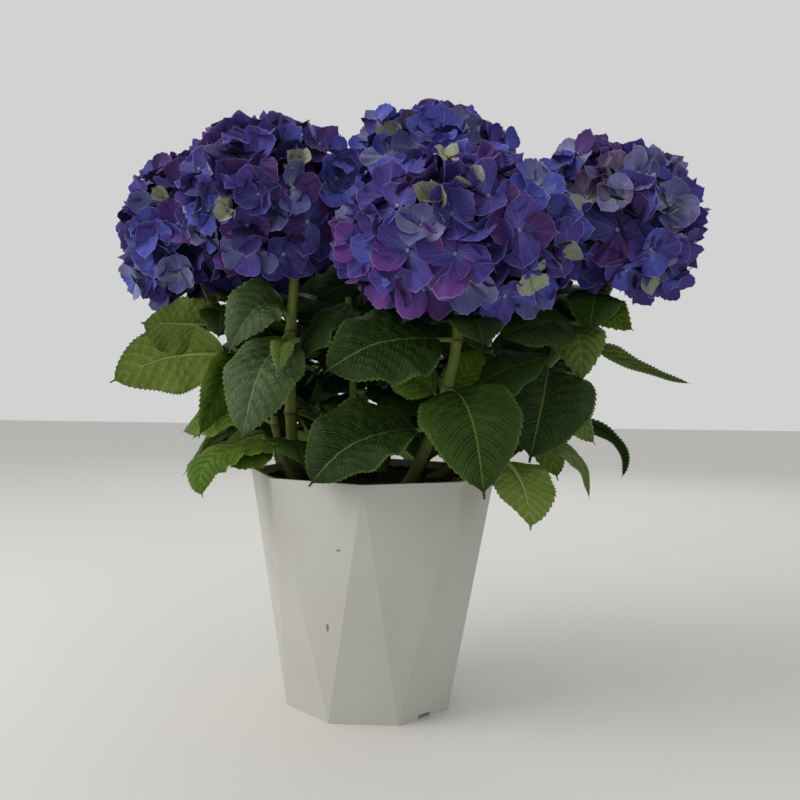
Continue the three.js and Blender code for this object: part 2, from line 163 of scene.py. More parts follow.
@dataclass(frozen=True)
class Stem:
    """A stem: its foot on the soil, a knee that it passes half way, and its end.

    It is bare up to a height. The pairs are the heights of its seeded leaves, and the turn is where
    they start. The backing leaves are the looks' own, and stand behind those of the solids.
    """

    name: str
    foot: tuple[float, float]
    knee: tuple[float, float, float]
    end: tuple[float, float, float]
    bare: float
    leaves: tuple[SetLeaf, ...] = ()
    pairs: tuple[float, ...] = ()
    turn: float = 0.0
    head: Head | None = None
    backing: tuple[SetLeaf, ...] = ()


def blooms(*rows: tuple[float | Hue, ...]) -> tuple[SetBloom, ...]:
    """Set florets, each from a row of its values in their order."""
    return tuple(SetBloom(*row) for row in rows)


# How a head's seeded florets are chosen: a weight, the inner and the outer hue.
DUSK = (
    (5.0, INDIGO, INDIGO), (3.0, INDIGO, PLUM), (3.0, VIOLET, VIOLET),
    (2.0, VIOLET, MAGENTA), (2.0, BLUE, INDIGO), (1.5, SLATE, SLATE),
    (1.0, SLATE, MIST), (0.6, GREEN, GREEN), (0.7, HEARTED, PLUM),
)
NOON = (
    (4.0, VIOLET, VIOLET), (3.0, BLUE, VIOLET), (3.0, VIOLET, MAGENTA),
    (2.0, INDIGO, VIOLET), (2.0, BLUE, BLUE), (1.2, SLATE, VIOLET),
    (1.0, SLATE, MIST), (0.8, GREEN, GREEN), (1.0, MAGENTA, PLUM),
)
SKY = (
    (4.0, BLUE, BLUE), (3.0, VIOLET, BLUE), (2.5, BLUE, MIST),
    (2.0, SLATE, MIST), (2.0, INDIGO, BLUE), (1.0, GREEN, GREEN),
    (1.0, VIOLET, PLUM), (1.0, MIST, SLATE),
)
HAZE = (
    (3.0, INDIGO, VIOLET), (2.5, SLATE, MIST), (2.5, HEARTED, PLUM),
    (2.0, VIOLET, MIST), (2.0, BLUE, VIOLET), (1.5, PLUM, MIST),
    (0.8, GREEN, SLATE),
)

STEMS = (
    Stem(
        "front", (24, -36), (47, -58, 215), (56, -63, 268), 182, turn=50,
        leaves=(
            SetLeaf(206, (-38, -98, 167), 72, 10, 32, DEEP, fold=34, lean=(9, -13, -5)),
            SetLeaf(226, (71, -118, 162), 68, 17, -14, MID, fold=20, lean=(3, 3, 0)),
            SetLeaf(212, (115, -64, 250), 46, 2, -40, DEEP),
            SetLeaf(256, (-28, -106, 238), 68, 6, 40, DEEP),
            SetLeaf(264, (69, -114, 254), 38, 10, 0, DEEP),
        ),
        head=Head((56, -70, 321), (84, 72, 60), 150, NOON, blooms(
            (-7, -18, 27, 160, VIOLET, MAGENTA, 0.04), (33, -2, 25, 88, VIOLET, PLUM, 0.08),
            (-38, -15, 25, 112, VIOLET, MAGENTA, 0.1), (-28, 0, 17, 75, SLATE, MIST, 0.25),
            (-21, 17, 15, 80, GREEN, GREEN, 0.5), (2, 26, 13, 40, GREEN, VIOLET, 0.5),
            (15, 21, 23, 100, VIOLET, PLUM, 0.2), (28, 44, 25, 60, VIOLET, PLUM, 0.1),
            (-42, 39, 23, 120, BLUE, VIOLET, 0.1), (-54, 23, 22, 60, VIOLET, INDIGO, 0.15),
            (-68, -10, 22, 160, MAGENTA, VIOLET, 0.1), (-57, -36, 20, 250, MAGENTA, VIOLET, 0.2),
            (-28, -41, 25, 235, MAGENTA, PLUM, 0.05), (1, -37, 22, 90, SLATE, MIST, 0.25),
            (30, -43, 21, 70, VIOLET, BLUE, 0.1), (57, -33, 22, 30, VIOLET, BLUE, 0.12),
            (62, -14, 17, 200, GREEN, VIOLET, 0.4), (46, 29, 22, 90, SLATE, BLUE, 0.15),
            (65, 16, 15, 45, GREEN, MIST, 0.3), (-10, 8, 20, 20, INDIGO, VIOLET, 0.3),
        )),
        backing=(
            SetLeaf(216, (8, -44, 238), 32, 4, 52, FRESH),
            SetLeaf(205, (74, -50, 250), 28, 5, -70, FRESH, fold=30),
        ),
    ),
    Stem(
        "front_left", (-54, -14), (-56, -32, 230), (-53, -38, 300), 190, turn=70, pairs=(206,),
        leaves=(
            SetLeaf(236, (-17, -40, 284), 56, 4, -30, DEEP),
            SetLeaf(250, (-57, -88, 234), 24, 10, 0, PALE, fold=30, pinch=0.3),
            SetLeaf(262, (-82, -84, 192), 54, 10, 14, SATIN),
            SetLeaf(268, (-94, -66, 247), 46, 21, 46, SATIN, fold=36),
        ),
        head=Head((-73, -36, 349), (60, 60, 59), 104, DUSK, blooms(
            (-18, -15, 10, 10, GREEN, GREEN, 0.3), (-4, 21, 25, 150, PLUM, VIOLET, 0.1),
            (31, 38, 26, 45, VIOLET, PLUM, 0.2), (26, 1, 21, 90, SLATE, PLUM, 0.1),
            (47, 9, 22, 100, BLUE, INDIGO, 0.1), (36, -21, 26, 80, INDIGO, PLUM, 0.06),
            (-14, 3, 20, 60, PLUM, INDIGO, 0.35), (2, -5, 19, 20, INDIGO, VIOLET, 0.3),
            (-8, -27, 20, 100, INDIGO, PLUM, 0.25), (-37, -28, 18, 180, MIST, BLUE, 0.15),
            (-5, -42, 22, 260, VIOLET, SLATE, 0.2), (17, -45, 22, 210, INDIGO, VIOLET, 0.2),
            (32, -44, 22, 240, INDIGO, INDIGO, 0.1), (13, -14, 17, 30, INDIGO, SLATE, 0.4),
            (12, 45, 18, 90, SLATE, MIST, 0.3), (-34, -14, 18, 100, BLUE, BLUE, 0.1),
            (46, 42, 16, 60, PLUM, MIST, 0.2, 1.16), (56, 30, 18, 100, BLUE, INDIGO, 0.15, 1.16),
            (56, 14, 18, 45, INDIGO, BLUE, 0.2, 1.12),
        )),
    ),
    Stem(
        "far_left", (-44, 14), (-92, 18, 236), (-122, 22, 288), 178, turn=100, pairs=(194, 214),
        leaves=(
            SetLeaf(244, (-193, 14, 226), 58, 9, -62, PALE),
            SetLeaf(242, (-112, -54, 190), 32, 14, 56, FRESH, fold=24),
            SetLeaf(268, (-162, -22, 268), 48, -1, -56, PALE),
            SetLeaf(274, (-105, -32, 258), 30, 8, 10, DEEP),
            SetLeaf(280, (-98, -18, 282), 22, 8, 20, DEEP),
        ),
        head=Head((-134, 18, 331), (53, 56, 63), 88, DUSK, blooms(
            (-11, 23, 12, 45, GREEN, GREEN, 0.5), (0, 37, 20, 100, PLUM, INDIGO, 0.15),
            (5, 49, 17, 60, PLUM, PLUM, 0.2), (-25, 44, 18, 120, INDIGO, PLUM, 0.2),
            (-27, 16, 19, 140, SLATE, INDIGO, 0.25), (-22, -2, 20, 90, BLUE, BLUE, 0.1),
            (-15, -16, 22, 45, BLUE, VIOLET, 0.08), (-35, -34, 20, 100, VIOLET, BLUE, 0.1),
            (-1, -34, 18, 80, SLATE, MIST, 0.2), (-17, -49, 18, 90, MIST, VIOLET, 0.2),
            (0, 3, 20, 30, VIOLET, MAGENTA, 0.15), (-42, -38, 16, 20, BLUE, MIST, 0.15, 1.1),
        )),
    ),
    Stem(
        "centre", (6, 20), (22, 32, 250), (38, 43, 344), 176,
        turn=75, pairs=(192, 222, 252, 284, 312),
        leaves=(
            SetLeaf(302, (-46, 6, 288), 50, 6, 55, DEEP),
        ),
        backing=(
            SetLeaf(274, (-72, 28, 258), 46, 6, 55, DEEP),
            SetLeaf(290, (-78, 34, 280), 52, 5, 55, DEEP),
            SetLeaf(226, (84, 42, 216), 38, 6, -55, DEEP),
        ),
        head=Head((40, 45, 386), (67, 62, 51), 104, SKY, blooms(
            (1, 1, 25, 40, BLUE, BLUE, 0.3), (-33, 18, 13, 80, GREEN, GREEN, 0.4),
            (-21, 23, 17, 60, HEARTED, SLATE, 0.4), (-33, 35, 16, 100, BLUE, VIOLET, 0.2),
            (8, 24, 20, 100, BLUE, BLUE, 0.2), (-4, 34, 17, 70, VIOLET, BLUE, 0.3),
            (-45, 21, 14, 90, VIOLET, MIST, 0.3), (-52, 23, 14, 60, MIST, SLATE, 0.3),
            (-60, 15, 15, 120, BLUE, SLATE, 0.1), (-38, 3, 20, 90, BLUE, MIST, 0.2),
            (-16, 4, 17, 45, SLATE, SLATE, 0.2), (31, 22, 15, 90, MIST, MIST, 0.7),
            (46, 17, 17, 60, VIOLET, BLUE, 0.2), (29, 4, 17, 90, SLATE, BLUE, 0.2),
            (-60, -6, 20, 90, BLUE, VIOLET, 0.2), (60, 17, 16, 60, BLUE, MIST, 0.2, 1.1),
            (-44, 36, 15, 30, BLUE, SLATE, 0.2, 1.12),
        )),
    ),
    Stem(
        "right", (42, -6), (112, -12, 230), (164, -10, 296), 176, turn=160, pairs=(206, 228),
        leaves=(
            SetLeaf(240, (103, -80, 181), 74, 14, 20, DEEP, fold=18, bow=4, lean=(0, 3, 1)),
            SetLeaf(238, (162, 4, 184), 34, 4, -75, PALE),
            SetLeaf(250, (160, 34, 258), 44, 8, -50, DEEP),
            SetLeaf(258, (139, 18, 296), 36, 4, 0, DEEP),
            SetLeaf(260, (141, -44, 230), 38, 17, -14, PALE),
            SetLeaf(264, (229, 0, 230), 20, -6, -60, PALE, fold=40, twist=30, pinch=0.5),
            SetLeaf(270, (82, -76, 261), 46, 3, 40, DEEP),
            SetLeaf(284, (144, -47, 263), 38, 14, 10, MID),
            SetLeaf(292, (175, -42, 266), 28, 2, -24, FRESH, bow=-9),
        ),
        head=Head((170, -14, 339), (60, 60, 59), 96, HAZE, blooms(
            (-13, -11, 29, 155, INDIGO, PLUM, 0.02), (-35, 16, 20, 85, HEARTED, HEARTED, 0.15),
            (-16, 29, 20, 80, HEARTED, SLATE, 0.2), (-28, 46, 22, 110, MAGENTA, VIOLET, 0.1),
            (1, 29, 18, 20, SLATE, MIST, 0.2), (-15, 12, 16, 60, MIST, HEARTED, 0.25),
            (26, 8, 20, 90, SLATE, MIST, 0.2), (15, 26, 17, 45, BLUE, MIST, 0.25),
            (35, 21, 19, 60, INDIGO, VIOLET, 0.1), (27, -2, 13, 30, MIST, GREEN, 0.6),
            (26, -22, 16, 80, MIST, VIOLET, 0.3), (12, -24, 21, 100, BLUE, VIOLET, 0.1),
            (16, -39, 15, 90, GREEN, SLATE, 0.3), (38, -21, 20, 60, INDIGO, VIOLET, 0.1),
            (19, -52, 19, 270, INDIGO, VIOLET, 0.1), (26, -38, 20, 45, VIOLET, BLUE, 0.2),
            (-19, -35, 20, 60, INDIGO, VIOLET, 0.3), (-50, 35, 18, 75, INDIGO, BLUE, 0.15, 1.14),
            (-40, 52, 18, 30, PLUM, MIST, 0.15, 1.2), (-54, 44, 15, 0, BLUE, MIST, 0.2, 1.25),
            (-22, 54, 18, 80, PLUM, PLUM, 0.2, 1.1), (38, -46, 18, 60, INDIGO, VIOLET, 0.15, 1.12),
        )),
    ),
    Stem(
        "back_left", (-18, 44), (-52, 82, 228), (-74, 104, 276), 178, turn=30,
        pairs=(192, 216, 242, 264), head=Head((-84, 112, 328), (52, 54, 54), 76, NOON),
    ),
    Stem(
        "back_right", (32, 42), (70, 84, 224), (94, 108, 268), 178, turn=60,
        pairs=(192, 216, 240, 260), head=Head((98, 114, 320), (56, 55, 54), 80, DUSK),
        leaves=(SetLeaf(248, (146, 50, 272), 44, 6, -50, DEEP),),
        backing=(
            SetLeaf(240, (168, 62, 240), 54, 5, -55, DEEP),
            SetLeaf(262, (162, 52, 300), 44, 6, -50, DEEP),
        ),
    ),
    Stem(
        "low_left", (-52, -34), (-62, -38, 184), (-66, -40, 204), 172,
        leaves=(
            SetLeaf(184, (-109, -74, 153), 36, 11, 12, FRESH, bow=-18, lean=(0, 0, -5)),
            SetLeaf(185, (-84, -60, 181), 26, 0, 0, FRESH),
            SetLeaf(186, (-40, -74, 176), 34, 6, 10, MID),
            SetLeaf(198, (-136, -14, 191), 32, 8, 40, FRESH, pinch=-0.4, lean=(0, -6, 8)),
        ),
        backing=(SetLeaf(182, (-94, -52, 171), 28, 4, 34, FRESH),),
    ),
    Stem(
        "low_right", (56, -24), (97, -36, 188), (109, -40, 208), 172,
        leaves=(
            SetLeaf(177, (101, -84, 135), 46, 8, 180, PALE, bow=6),
            SetLeaf(190, (149, -44, 150), 26, 10, -20, PALE, bow=12, pinch=0.2),
        ),
    ),
    Stem(
        "middle", (-14, -14), (-14, -16, 222), (-18, -20, 286), 176, turn=20, pairs=(194, 212),
        leaves=(
            SetLeaf(238, (-46, 10, 224), 42, 8, 40, DEEP),
            SetLeaf(238, (22, -24, 230), 40, 8, -30, DEEP),
            SetLeaf(262, (-55, 12, 262), 38, 4, 42, DEEP),
            SetLeaf(272, (28, -2, 264), 46, 9, -50, DEEP),
        ),
    ),
    Stem(
        "side_left", (-58, 32), (-92, 60, 200), (-112, 74, 232), 176, turn=10, pairs=(184, 206, 228),
        backing=(SetLeaf(214, (-34, 46, 218), 50, 6, -55, DEEP),),
    ),
    Stem(
        "side_right", (58, 22), (106, 44, 200), (138, 56, 238), 176, turn=90, pairs=(186, 210, 235),
        leaves=(SetLeaf(214, (180, 10, 159), 17, 5, -50, MID, fold=40, bow=30, pinch=0.5,
                        lean=(9, -6, -4)),),
    ),
    Stem(
        "back_low", (6, 60), (8, 92, 192), (10, 110, 224), 174, turn=80, pairs=(180, 200, 220),
    ),
)


def unit(vectors: Array) -> Array:
    """One vector, or rows of them, at length one."""
    return vectors / np.linalg.norm(vectors, axis=-1, keepdims=True)


def smooth(values: Array | float, low: float, high: float) -> Array:
    """A soft step from 0 at the low value to 1 at the high value."""
    share = np.clip((np.asarray(values, float) - low) / (high - low), 0, 1)
    return share * share * (3 - 2 * share)


class Seeded:
    """The small random generator of the solids: one seed always gives the same numbers."""

    def __init__(self, seed: int) -> None:
        """Starts the generator from any whole number."""
        self.state = seed & WORD

    def draw(self) -> float:
        """Draws a number.

        Returns:
            The next number, from 0 up to 1.
        """
        self.state = (self.state + STRIDE) & WORD
        value = ((self.state ^ (self.state >> 15)) * (1 | self.state)) & WORD
        value = ((value + (((value ^ (value >> 7)) * (61 | value)) & WORD)) & WORD) ^ value
        return ((value ^ (value >> 14)) & WORD) / (WORD + 1)

    def between(self, low: float, high: float) -> float:
        """The next number between two limits."""
        return low + (high - low) * self.draw()


@dataclass(frozen=True)
class Arc:
    """A curve from a start, drawn towards a bend, to an end."""

    start: Array
    bend: Array
    end: Array

    def point(self, share: float | Array) -> Array:
        """The curve's points at shares of its run."""
        u = np.asarray(share, float)[..., None]
        return (1 - u) ** 2 * self.start + 2 * u * (1 - u) * self.bend + u * u * self.end

    def tangent(self, share: float | Array) -> Array:
        """The curve's direction at shares of its run."""
        u = np.asarray(share, float)[..., None]
        return unit((1 - u) * (self.bend - self.start) + u * (self.end - self.bend))

    def share_at(self, height: float) -> float:
        """Where the curve reaches a height.

        Args:
            height: the height.

        Returns:
            The share of the run.
        """
        low, high = 0.0, 1.0
        for _ in range(40):
            middle = (low + high) / 2
            if self.point(middle)[2] < height:
                low = middle
            else:
                high = middle
        return (low + high) / 2


def grid_triangles(rows: int, columns: int, closed: bool = False) -> Array:
    """Triangles over a grid of points, counter-clockwise seen from its first side.

    Args:
        rows: how many rows of points there are.
        columns: how many points a row has.
        closed: whether each row's last point joins its first.

    Returns:
        Three point numbers for each triangle.
    """
    across = columns if closed else columns - 1
    row, column = np.meshgrid(np.arange(rows - 1), np.arange(across), indexing="ij")
    first = (row * columns + column).ravel()
    second = (row * columns + (column + 1) % columns).ravel()
    third, fourth = first + columns, second + columns
    return np.concatenate([
        np.stack([first, second, fourth], 1), np.stack([first, fourth, third], 1),
    ])


class Mass:
    """Points, triangles and chart places that pile up into one joined mesh."""

    def __init__(self) -> None:
        """Starts with nothing in it."""
        self.points: list[Array] = []
        self.triangles: list[Array] = []
        self.places: list[Array] = []
        self.count = 0

    def add(self, points: Array, triangles: Array, places: Array) -> None:
        """Adds one part.

        Args:
            points: its points in millimetres.
            triangles: three numbers of its own points each.
            places: each point's place on the chart.
        """
        self.points.append(points.reshape(-1, 3))
        self.triangles.append(triangles + self.count)
        self.places.append(places.reshape(-1, 2))
        self.count += len(self.points[-1])

    def build(
        self, name: str, material: bpy.types.Material, slot: str, nodes: Iterable[str]
    ) -> bpy.types.Object:
        """Makes the joined mesh, puts it in the scene and hides the solids that it stands for.

        Args:
            name: the piece's name.
            material: its finish.
            slot: not used.
            nodes: the solids that the piece stands for.

        Returns:
            The piece.
        """
        points = np.concatenate(self.points) * MM
        triangles = np.concatenate(self.triangles).astype(np.int32)
        places = np.concatenate(self.places)
        mesh = bpy.data.meshes.new(name)
        mesh.vertices.add(len(points))
        mesh.vertices.foreach_set("co", points.astype(np.float32).ravel())
        mesh.loops.add(triangles.size)
        mesh.loops.foreach_set("vertex_index", triangles.ravel())
        mesh.polygons.add(len(triangles))
        mesh.polygons.foreach_set("loop_start", np.arange(0, triangles.size, 3, dtype=np.int32))
        mesh.polygons.foreach_set("use_smooth", np.ones(len(triangles), bool))
        chart = mesh.uv_layers.new(name=CHART)
        chart.data.foreach_set("uv", places[triangles.ravel()].astype(np.float32).ravel())
        mesh.materials.append(material)
        mesh.update(calc_edges=True)
        mesh.validate()
        return dress(bpy.data.objects.new(name, mesh), nodes)


def nodes_of(start: str) -> list[str]:
    """The names of the solids that start alike."""
    return [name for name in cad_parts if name.startswith(start)]


def dress(piece: bpy.types.Object, nodes: Iterable[str]) -> bpy.types.Object:
    """Puts a piece in the scene, on its body, for the solids that it replaces.

    Args:
        piece: the finished piece.
        nodes: the solids that it stands for.

    Returns:
        The same piece.
    """
    bpy.context.scene.collection.objects.link(piece)
    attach(piece, "root")
    replaced = list(nodes)
    if replaced:
        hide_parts(*replaced)
    log.info("%s: %d faces", piece.name, len(piece.data.polygons))
    return piece


def operator(operation: str, swapped: bool = False) -> Callable[..., "Wire"]:
    """Makes a method that adds one Math node.

    Args:
        operation: the node's operation.
        swapped: whether the other value comes first.

    Returns:
        The method, for a wire and at most one other value.
    """
    def method(wire: "Wire", *other: Number) -> "Wire":
        """Adds the node."""
        values = (*other, wire) if swapped else (wire, *other)
        return wire.shader.node("ShaderNodeMath", {"operation": operation}, dict(enumerate(values)))

    return method


class Wire:
    """A shader value or colour that takes part in Python sums."""

    __add__ = __radd__ = operator("ADD")
    __sub__ = operator("SUBTRACT")
    __rsub__ = operator("SUBTRACT", True)
    __mul__ = __rmul__ = operator("MULTIPLY")
    __truediv__ = operator("DIVIDE")
    __rtruediv__ = operator("DIVIDE", True)
    __pow__ = operator("POWER")
    __rpow__ = operator("POWER", True)
    __gt__ = operator("GREATER_THAN")
    __lt__ = operator("LESS_THAN")
    __abs__ = operator("ABSOLUTE")
    fraction = operator("FRACT")
    sine = operator("SINE")

    def __init__(self, shader: "Shader", socket: bpy.types.NodeSocket | None) -> None:
        """Wraps a shader's output, or nothing where a node has none."""
        self.shader = shader
        self.socket = socket

    def pick(self, name: str) -> "Wire":
        """Another output of the same node."""
        return Wire(self.shader, self.socket.node.outputs[name])

    def step(self, low: float, high: float) -> "Wire":
        """A soft step from nought at the low value to one at the high value."""
        settings = {"interpolation_type": "SMOOTHSTEP"}
        return self.shader.node("ShaderNodeMapRange", settings, {0: self, 1: low, 2: high})


class Shader:
    """A material being made around one principled surface."""

    def __init__(self, name: str) -> None:
        """Starts an empty material.

        Args:
            name: the material's name.
        """
        self.material = bpy.data.materials.new(name)
        self.material.use_nodes = True
        self.tree = self.material.node_tree
        self.tree.nodes.clear()

    def node(
        self, kind: str, settings: dict[str, object] | None = None,
        sockets: dict[int | str, object] | None = None, output: int | str = 0,
    ) -> Wire:
        """Adds a node.

        Args:
            kind: the node's type.
            settings: its properties, set first.
            sockets: values or wires for its inputs, by name or number.
            output: the output that is wanted.

        Returns:
            That output.
        """
        made = self.tree.nodes.new(kind)
        for name, value in (settings or {}).items():
            setattr(made, name, value)
        for name, value in (sockets or {}).items():
            self.feed(made.inputs[name], value)
        return Wire(self, made.outputs[output] if made.outputs else None)

    def feed(self, socket: bpy.types.NodeSocket, value: object) -> None:
        """Links a wire to an input, or sets the input's own value.

        Args:
            socket: the input.
            value: a wire, a number, or three numbers.
        """
        if isinstance(value, Wire):
            self.tree.links.new(value.socket, socket)
        elif socket.type == "RGBA":
            socket.default_value = (*value, 1.0)
        else:
            socket.default_value = value

    def mix(self, first: "Colour | Wire", second: "Colour | Wire", share: Number) -> Wire:
        """Two colours mixed: the first at share 0, and the second at share 1."""
        sockets = {0: share, 6: first, 7: second}
        return self.node("ShaderNodeMix", {"data_type": "RGBA"}, sockets, 2)

    def chart(self) -> tuple[Wire, Wire]:
        """Reads the piece's own chart.

        Returns:
            Its two coordinates.
        """
        place = self.node("ShaderNodeUVMap", {"uv_map": CHART})
        parts = self.node("ShaderNodeSeparateXYZ", None, {0: place})
        return parts, parts.pick("Y")

    def vector(self, x: Number, y: Number, z: Number = 0.0) -> Wire:
        """A vector of three values."""
        return self.node("ShaderNodeCombineXYZ", None, {0: x, 1: y, 2: z})

    def noise(self, place: Wire, scale: float, detail: float = 3.0) -> Wire:
        """Soft noise from about 0.3 to 0.7 at a place."""
        sockets = {"Vector": place, "Scale": scale, "Detail": detail}
        return self.node("ShaderNodeTexNoise", None, sockets)

    def cells(self, place: Wire, scale: float, feature: str = "F1") -> Wire:
        """The distance to the middle or the edge of the cell that a place is in."""
        sockets = {"Vector": place, "Scale": scale}
        return self.node("ShaderNodeTexVoronoi", {"feature": feature}, sockets)

    def bump(self, height: Wire, depth: float, strength: float = 1.0) -> Wire:
        """A normal that follows a height, where 1 stands for the depth in millimetres."""
        sockets = {"Strength": strength, "Distance": depth * MM, "Height": height}
        return self.node("ShaderNodeBump", None, sockets)

    def surface(self, sockets: dict[str, object]) -> bpy.types.Material:
        """Ends the material in a principled surface.

        Args:
            sockets: values or wires for the surface's inputs, by name.

        Returns:
            The finished material.
        """
        made = self.node("ShaderNodeBsdfPrincipled", None, sockets)
        self.node("ShaderNodeOutputMaterial", None, {"Surface": made})
        return self.material


@dataclass(frozen=True)
class SepalFinish:
    """A sepal's colours from its heart to its margin, with veins that run out from the heart."""

    hue: Hue
    heart: Colour
    body: Colour
    outer: Colour
    tint: Colour
    # The pale colour of the veins, also painted as a highlight along the edge.
    margin: Colour
    roughness: float = 0.52
    gloss: float = 0.12
    streaks: float = 30.0
    veins: float = 11.0

    def material(self) -> bpy.types.Material:
        """Makes the finish on the sepal's chart.

        Returns:
            The material.
        """
        shader = Shader("sepal_" + self.hue.value)
        across, out = shader.chart()
        long = shader.vector(across * self.streaks, out * 1.6)
        streak = shader.noise(long, 1.0, 4.0).step(0.35, 0.68)
        vein = (1 - abs((across * self.veins).fraction() - 0.5) * 2).step(0.62, 1.0)
        vein = vein * (1 - out.step(0.3, 0.95))
        cloud = shader.noise(shader.vector(across * 3, out * 3), 1.0, 2.0).step(0.42, 0.62)
        reach = out + streak * 0.16 - 0.08
        colour = shader.mix(self.body, self.outer, reach.step(0.5, 0.98))
        colour = shader.mix(colour, self.tint, cloud * 0.45)
        colour = shader.mix(colour, self.heart, (1 - reach.step(0.08, 0.5)) * 0.9)
        shade = tuple(0.4 * value for value in self.body)
        colour = shader.mix(colour, shade, streak * 0.42)
        colour = shader.mix(colour, self.margin, vein * 0.24)
        # Painted highlight: a thin pale line along the edge, where the sepal's thickness would catch
        # the light.
        colour = shader.mix(colour, self.margin, out.step(0.965, 1.0) * (0.25 + cloud * 0.5))
        height = streak * 0.6 + vein * 0.5 + cloud * 0.3
        return shader.surface({
            "Base Color": colour,
            "Roughness": self.roughness + streak * 0.14,
            "Normal": shader.bump(height, 0.35, 0.55),
            "Specular IOR Level": self.gloss,
            "Sheen Weight": 0.05,
            "Sheen Roughness": 0.45,
        })


@dataclass(frozen=True)
class LeafFinish:
    """A leaf's colours: its face, its veins, and its paler underside, all on one chart."""

    look: Look
    face: Colour
    light: Colour
    vein: Colour
    under: Colour
    under_vein: Colour
    roughness: float
    gloss: float = 0.13
    bump_depth: float = 0.8

    @property
    def shade(self) -> Colour:
        """The painted shade in the creases along the veins."""
        return tuple(0.35 * value for value in self.face)

    def material(self) -> bpy.types.Material:
        """Makes the finish on the leaf's chart.

        Returns:
            The material.
        """
        shader = Shader("leaf_" + self.look.value)
        along, lane = shader.chart()
        under = lane > 0.5
        across = abs(lane - 0.25 - under * 0.5) / Blade.LANE
        spread = (along ** 0.85 * math.pi).sine() ** 0.62
        flow = along - spread * (across ** Blade.VEIN_CURVE) * Blade.VEIN_SLANT
        apart = abs((flow * Blade.VEINS).fraction() - 0.5) * 2
        rib = (1 - apart.step(0.02, 0.1)) * (1 - across.step(0.75, 1.0) * 0.6)
        halo = 1 - apart.step(0.02, 0.42)
        # A mask for the painted shade in the creases beside the veins.
        crease = (1 - apart.step(0.08, 0.5)) * (1 - across.step(0.7, 0.95))
        midrib = 1 - (across * spread).step(0.009, 0.03)
        place = shader.vector(along * 31, lane * 46)
        mesh = shader.vector(flow * 44, across * 15, under * 3)
        net = 1 - shader.cells(mesh, 1.0, "DISTANCE_TO_EDGE").step(0.02, 0.22)
        cloud = shader.noise(place, 0.13, 3.0).step(0.4, 0.62)
        grain = shader.noise(place, 3.2, 2.0)
        face = shader.mix(self.face, self.light, cloud * 0.5 + across.step(0.3, 1.0) * 0.4)
        face = shader.mix(face, self.light, net * 0.22)
        # Painted highlight: the panels between the veins lightened.
        face = shader.mix(face, self.light, (1 - halo) * 0.3)
        # Painted shade: the creases beside the veins darkened.
        face = shader.mix(face, self.shade, crease * 0.7)
        face = shader.mix(face, self.vein, rib * 0.75)
        face = shader.mix(face, self.vein, across.step(0.93, 1.0) * 0.6)
        face = shader.mix(face, self.vein, midrib * 0.9)
        below = shader.mix(self.under, self.light, (1 - halo) * 0.45)
        below = shader.mix(below, self.under_vein, halo * 0.3 + net * 0.2)
        below = shader.mix(below, self.under_vein, rib * 0.95)
        side = 1 - under * 2
        raised = rib * 0.9 + net * 0.35 + midrib * 0.6
        height = grain * 0.25 + cloud * 0.5 - side * raised
        return shader.surface({
            "Base Color": shader.mix(face, below, under),
            "Roughness": self.roughness + under * 0.2 + net * 0.1 - cloud * 0.04,
            "Normal": shader.bump(height, self.bump_depth, 0.95),
            "Specular IOR Level": self.gloss,
        })


@dataclass(frozen=True)
class BarkFinish:
    """The green bark of stems and leaf stalks, with small dark pores."""

    name: str
    young: Colour
    old: Colour
    pore: Colour
    pores: float = 0.0
    roughness: float = 0.5
    gloss: float = 0.16

    def material(self) -> bpy.types.Material:
        """Makes the finish on the stem's chart.

        Returns:
            The material.
        """
        shader = Shader(self.name)
        around, along = shader.chart()
        long = shader.vector(around * 7, along * 12)
        fibre = shader.noise(long, 1.0, 3.0).step(0.35, 0.65)
        dots = shader.cells(shader.vector(around * 9, along * 44), 1.0)
        dot = (1 - dots.step(0.1, 0.2)) * (shader.noise(long, 2.3, 1.0) > 0.5) * self.pores
        colour = shader.mix(self.old, self.young, along.step(0.05, 0.3))
        colour = shader.mix(colour, self.old, fibre * 0.35)
        colour = shader.mix(colour, self.pore, dot * 0.85)
        return shader.surface({
            "Base Color": colour,
            "Roughness": self.roughness + fibre * 0.12,
            "Normal": shader.bump(fibre * 0.5 + dot * 0.7, 0.25, 0.6),
            "Specular IOR Level": self.gloss,
        })


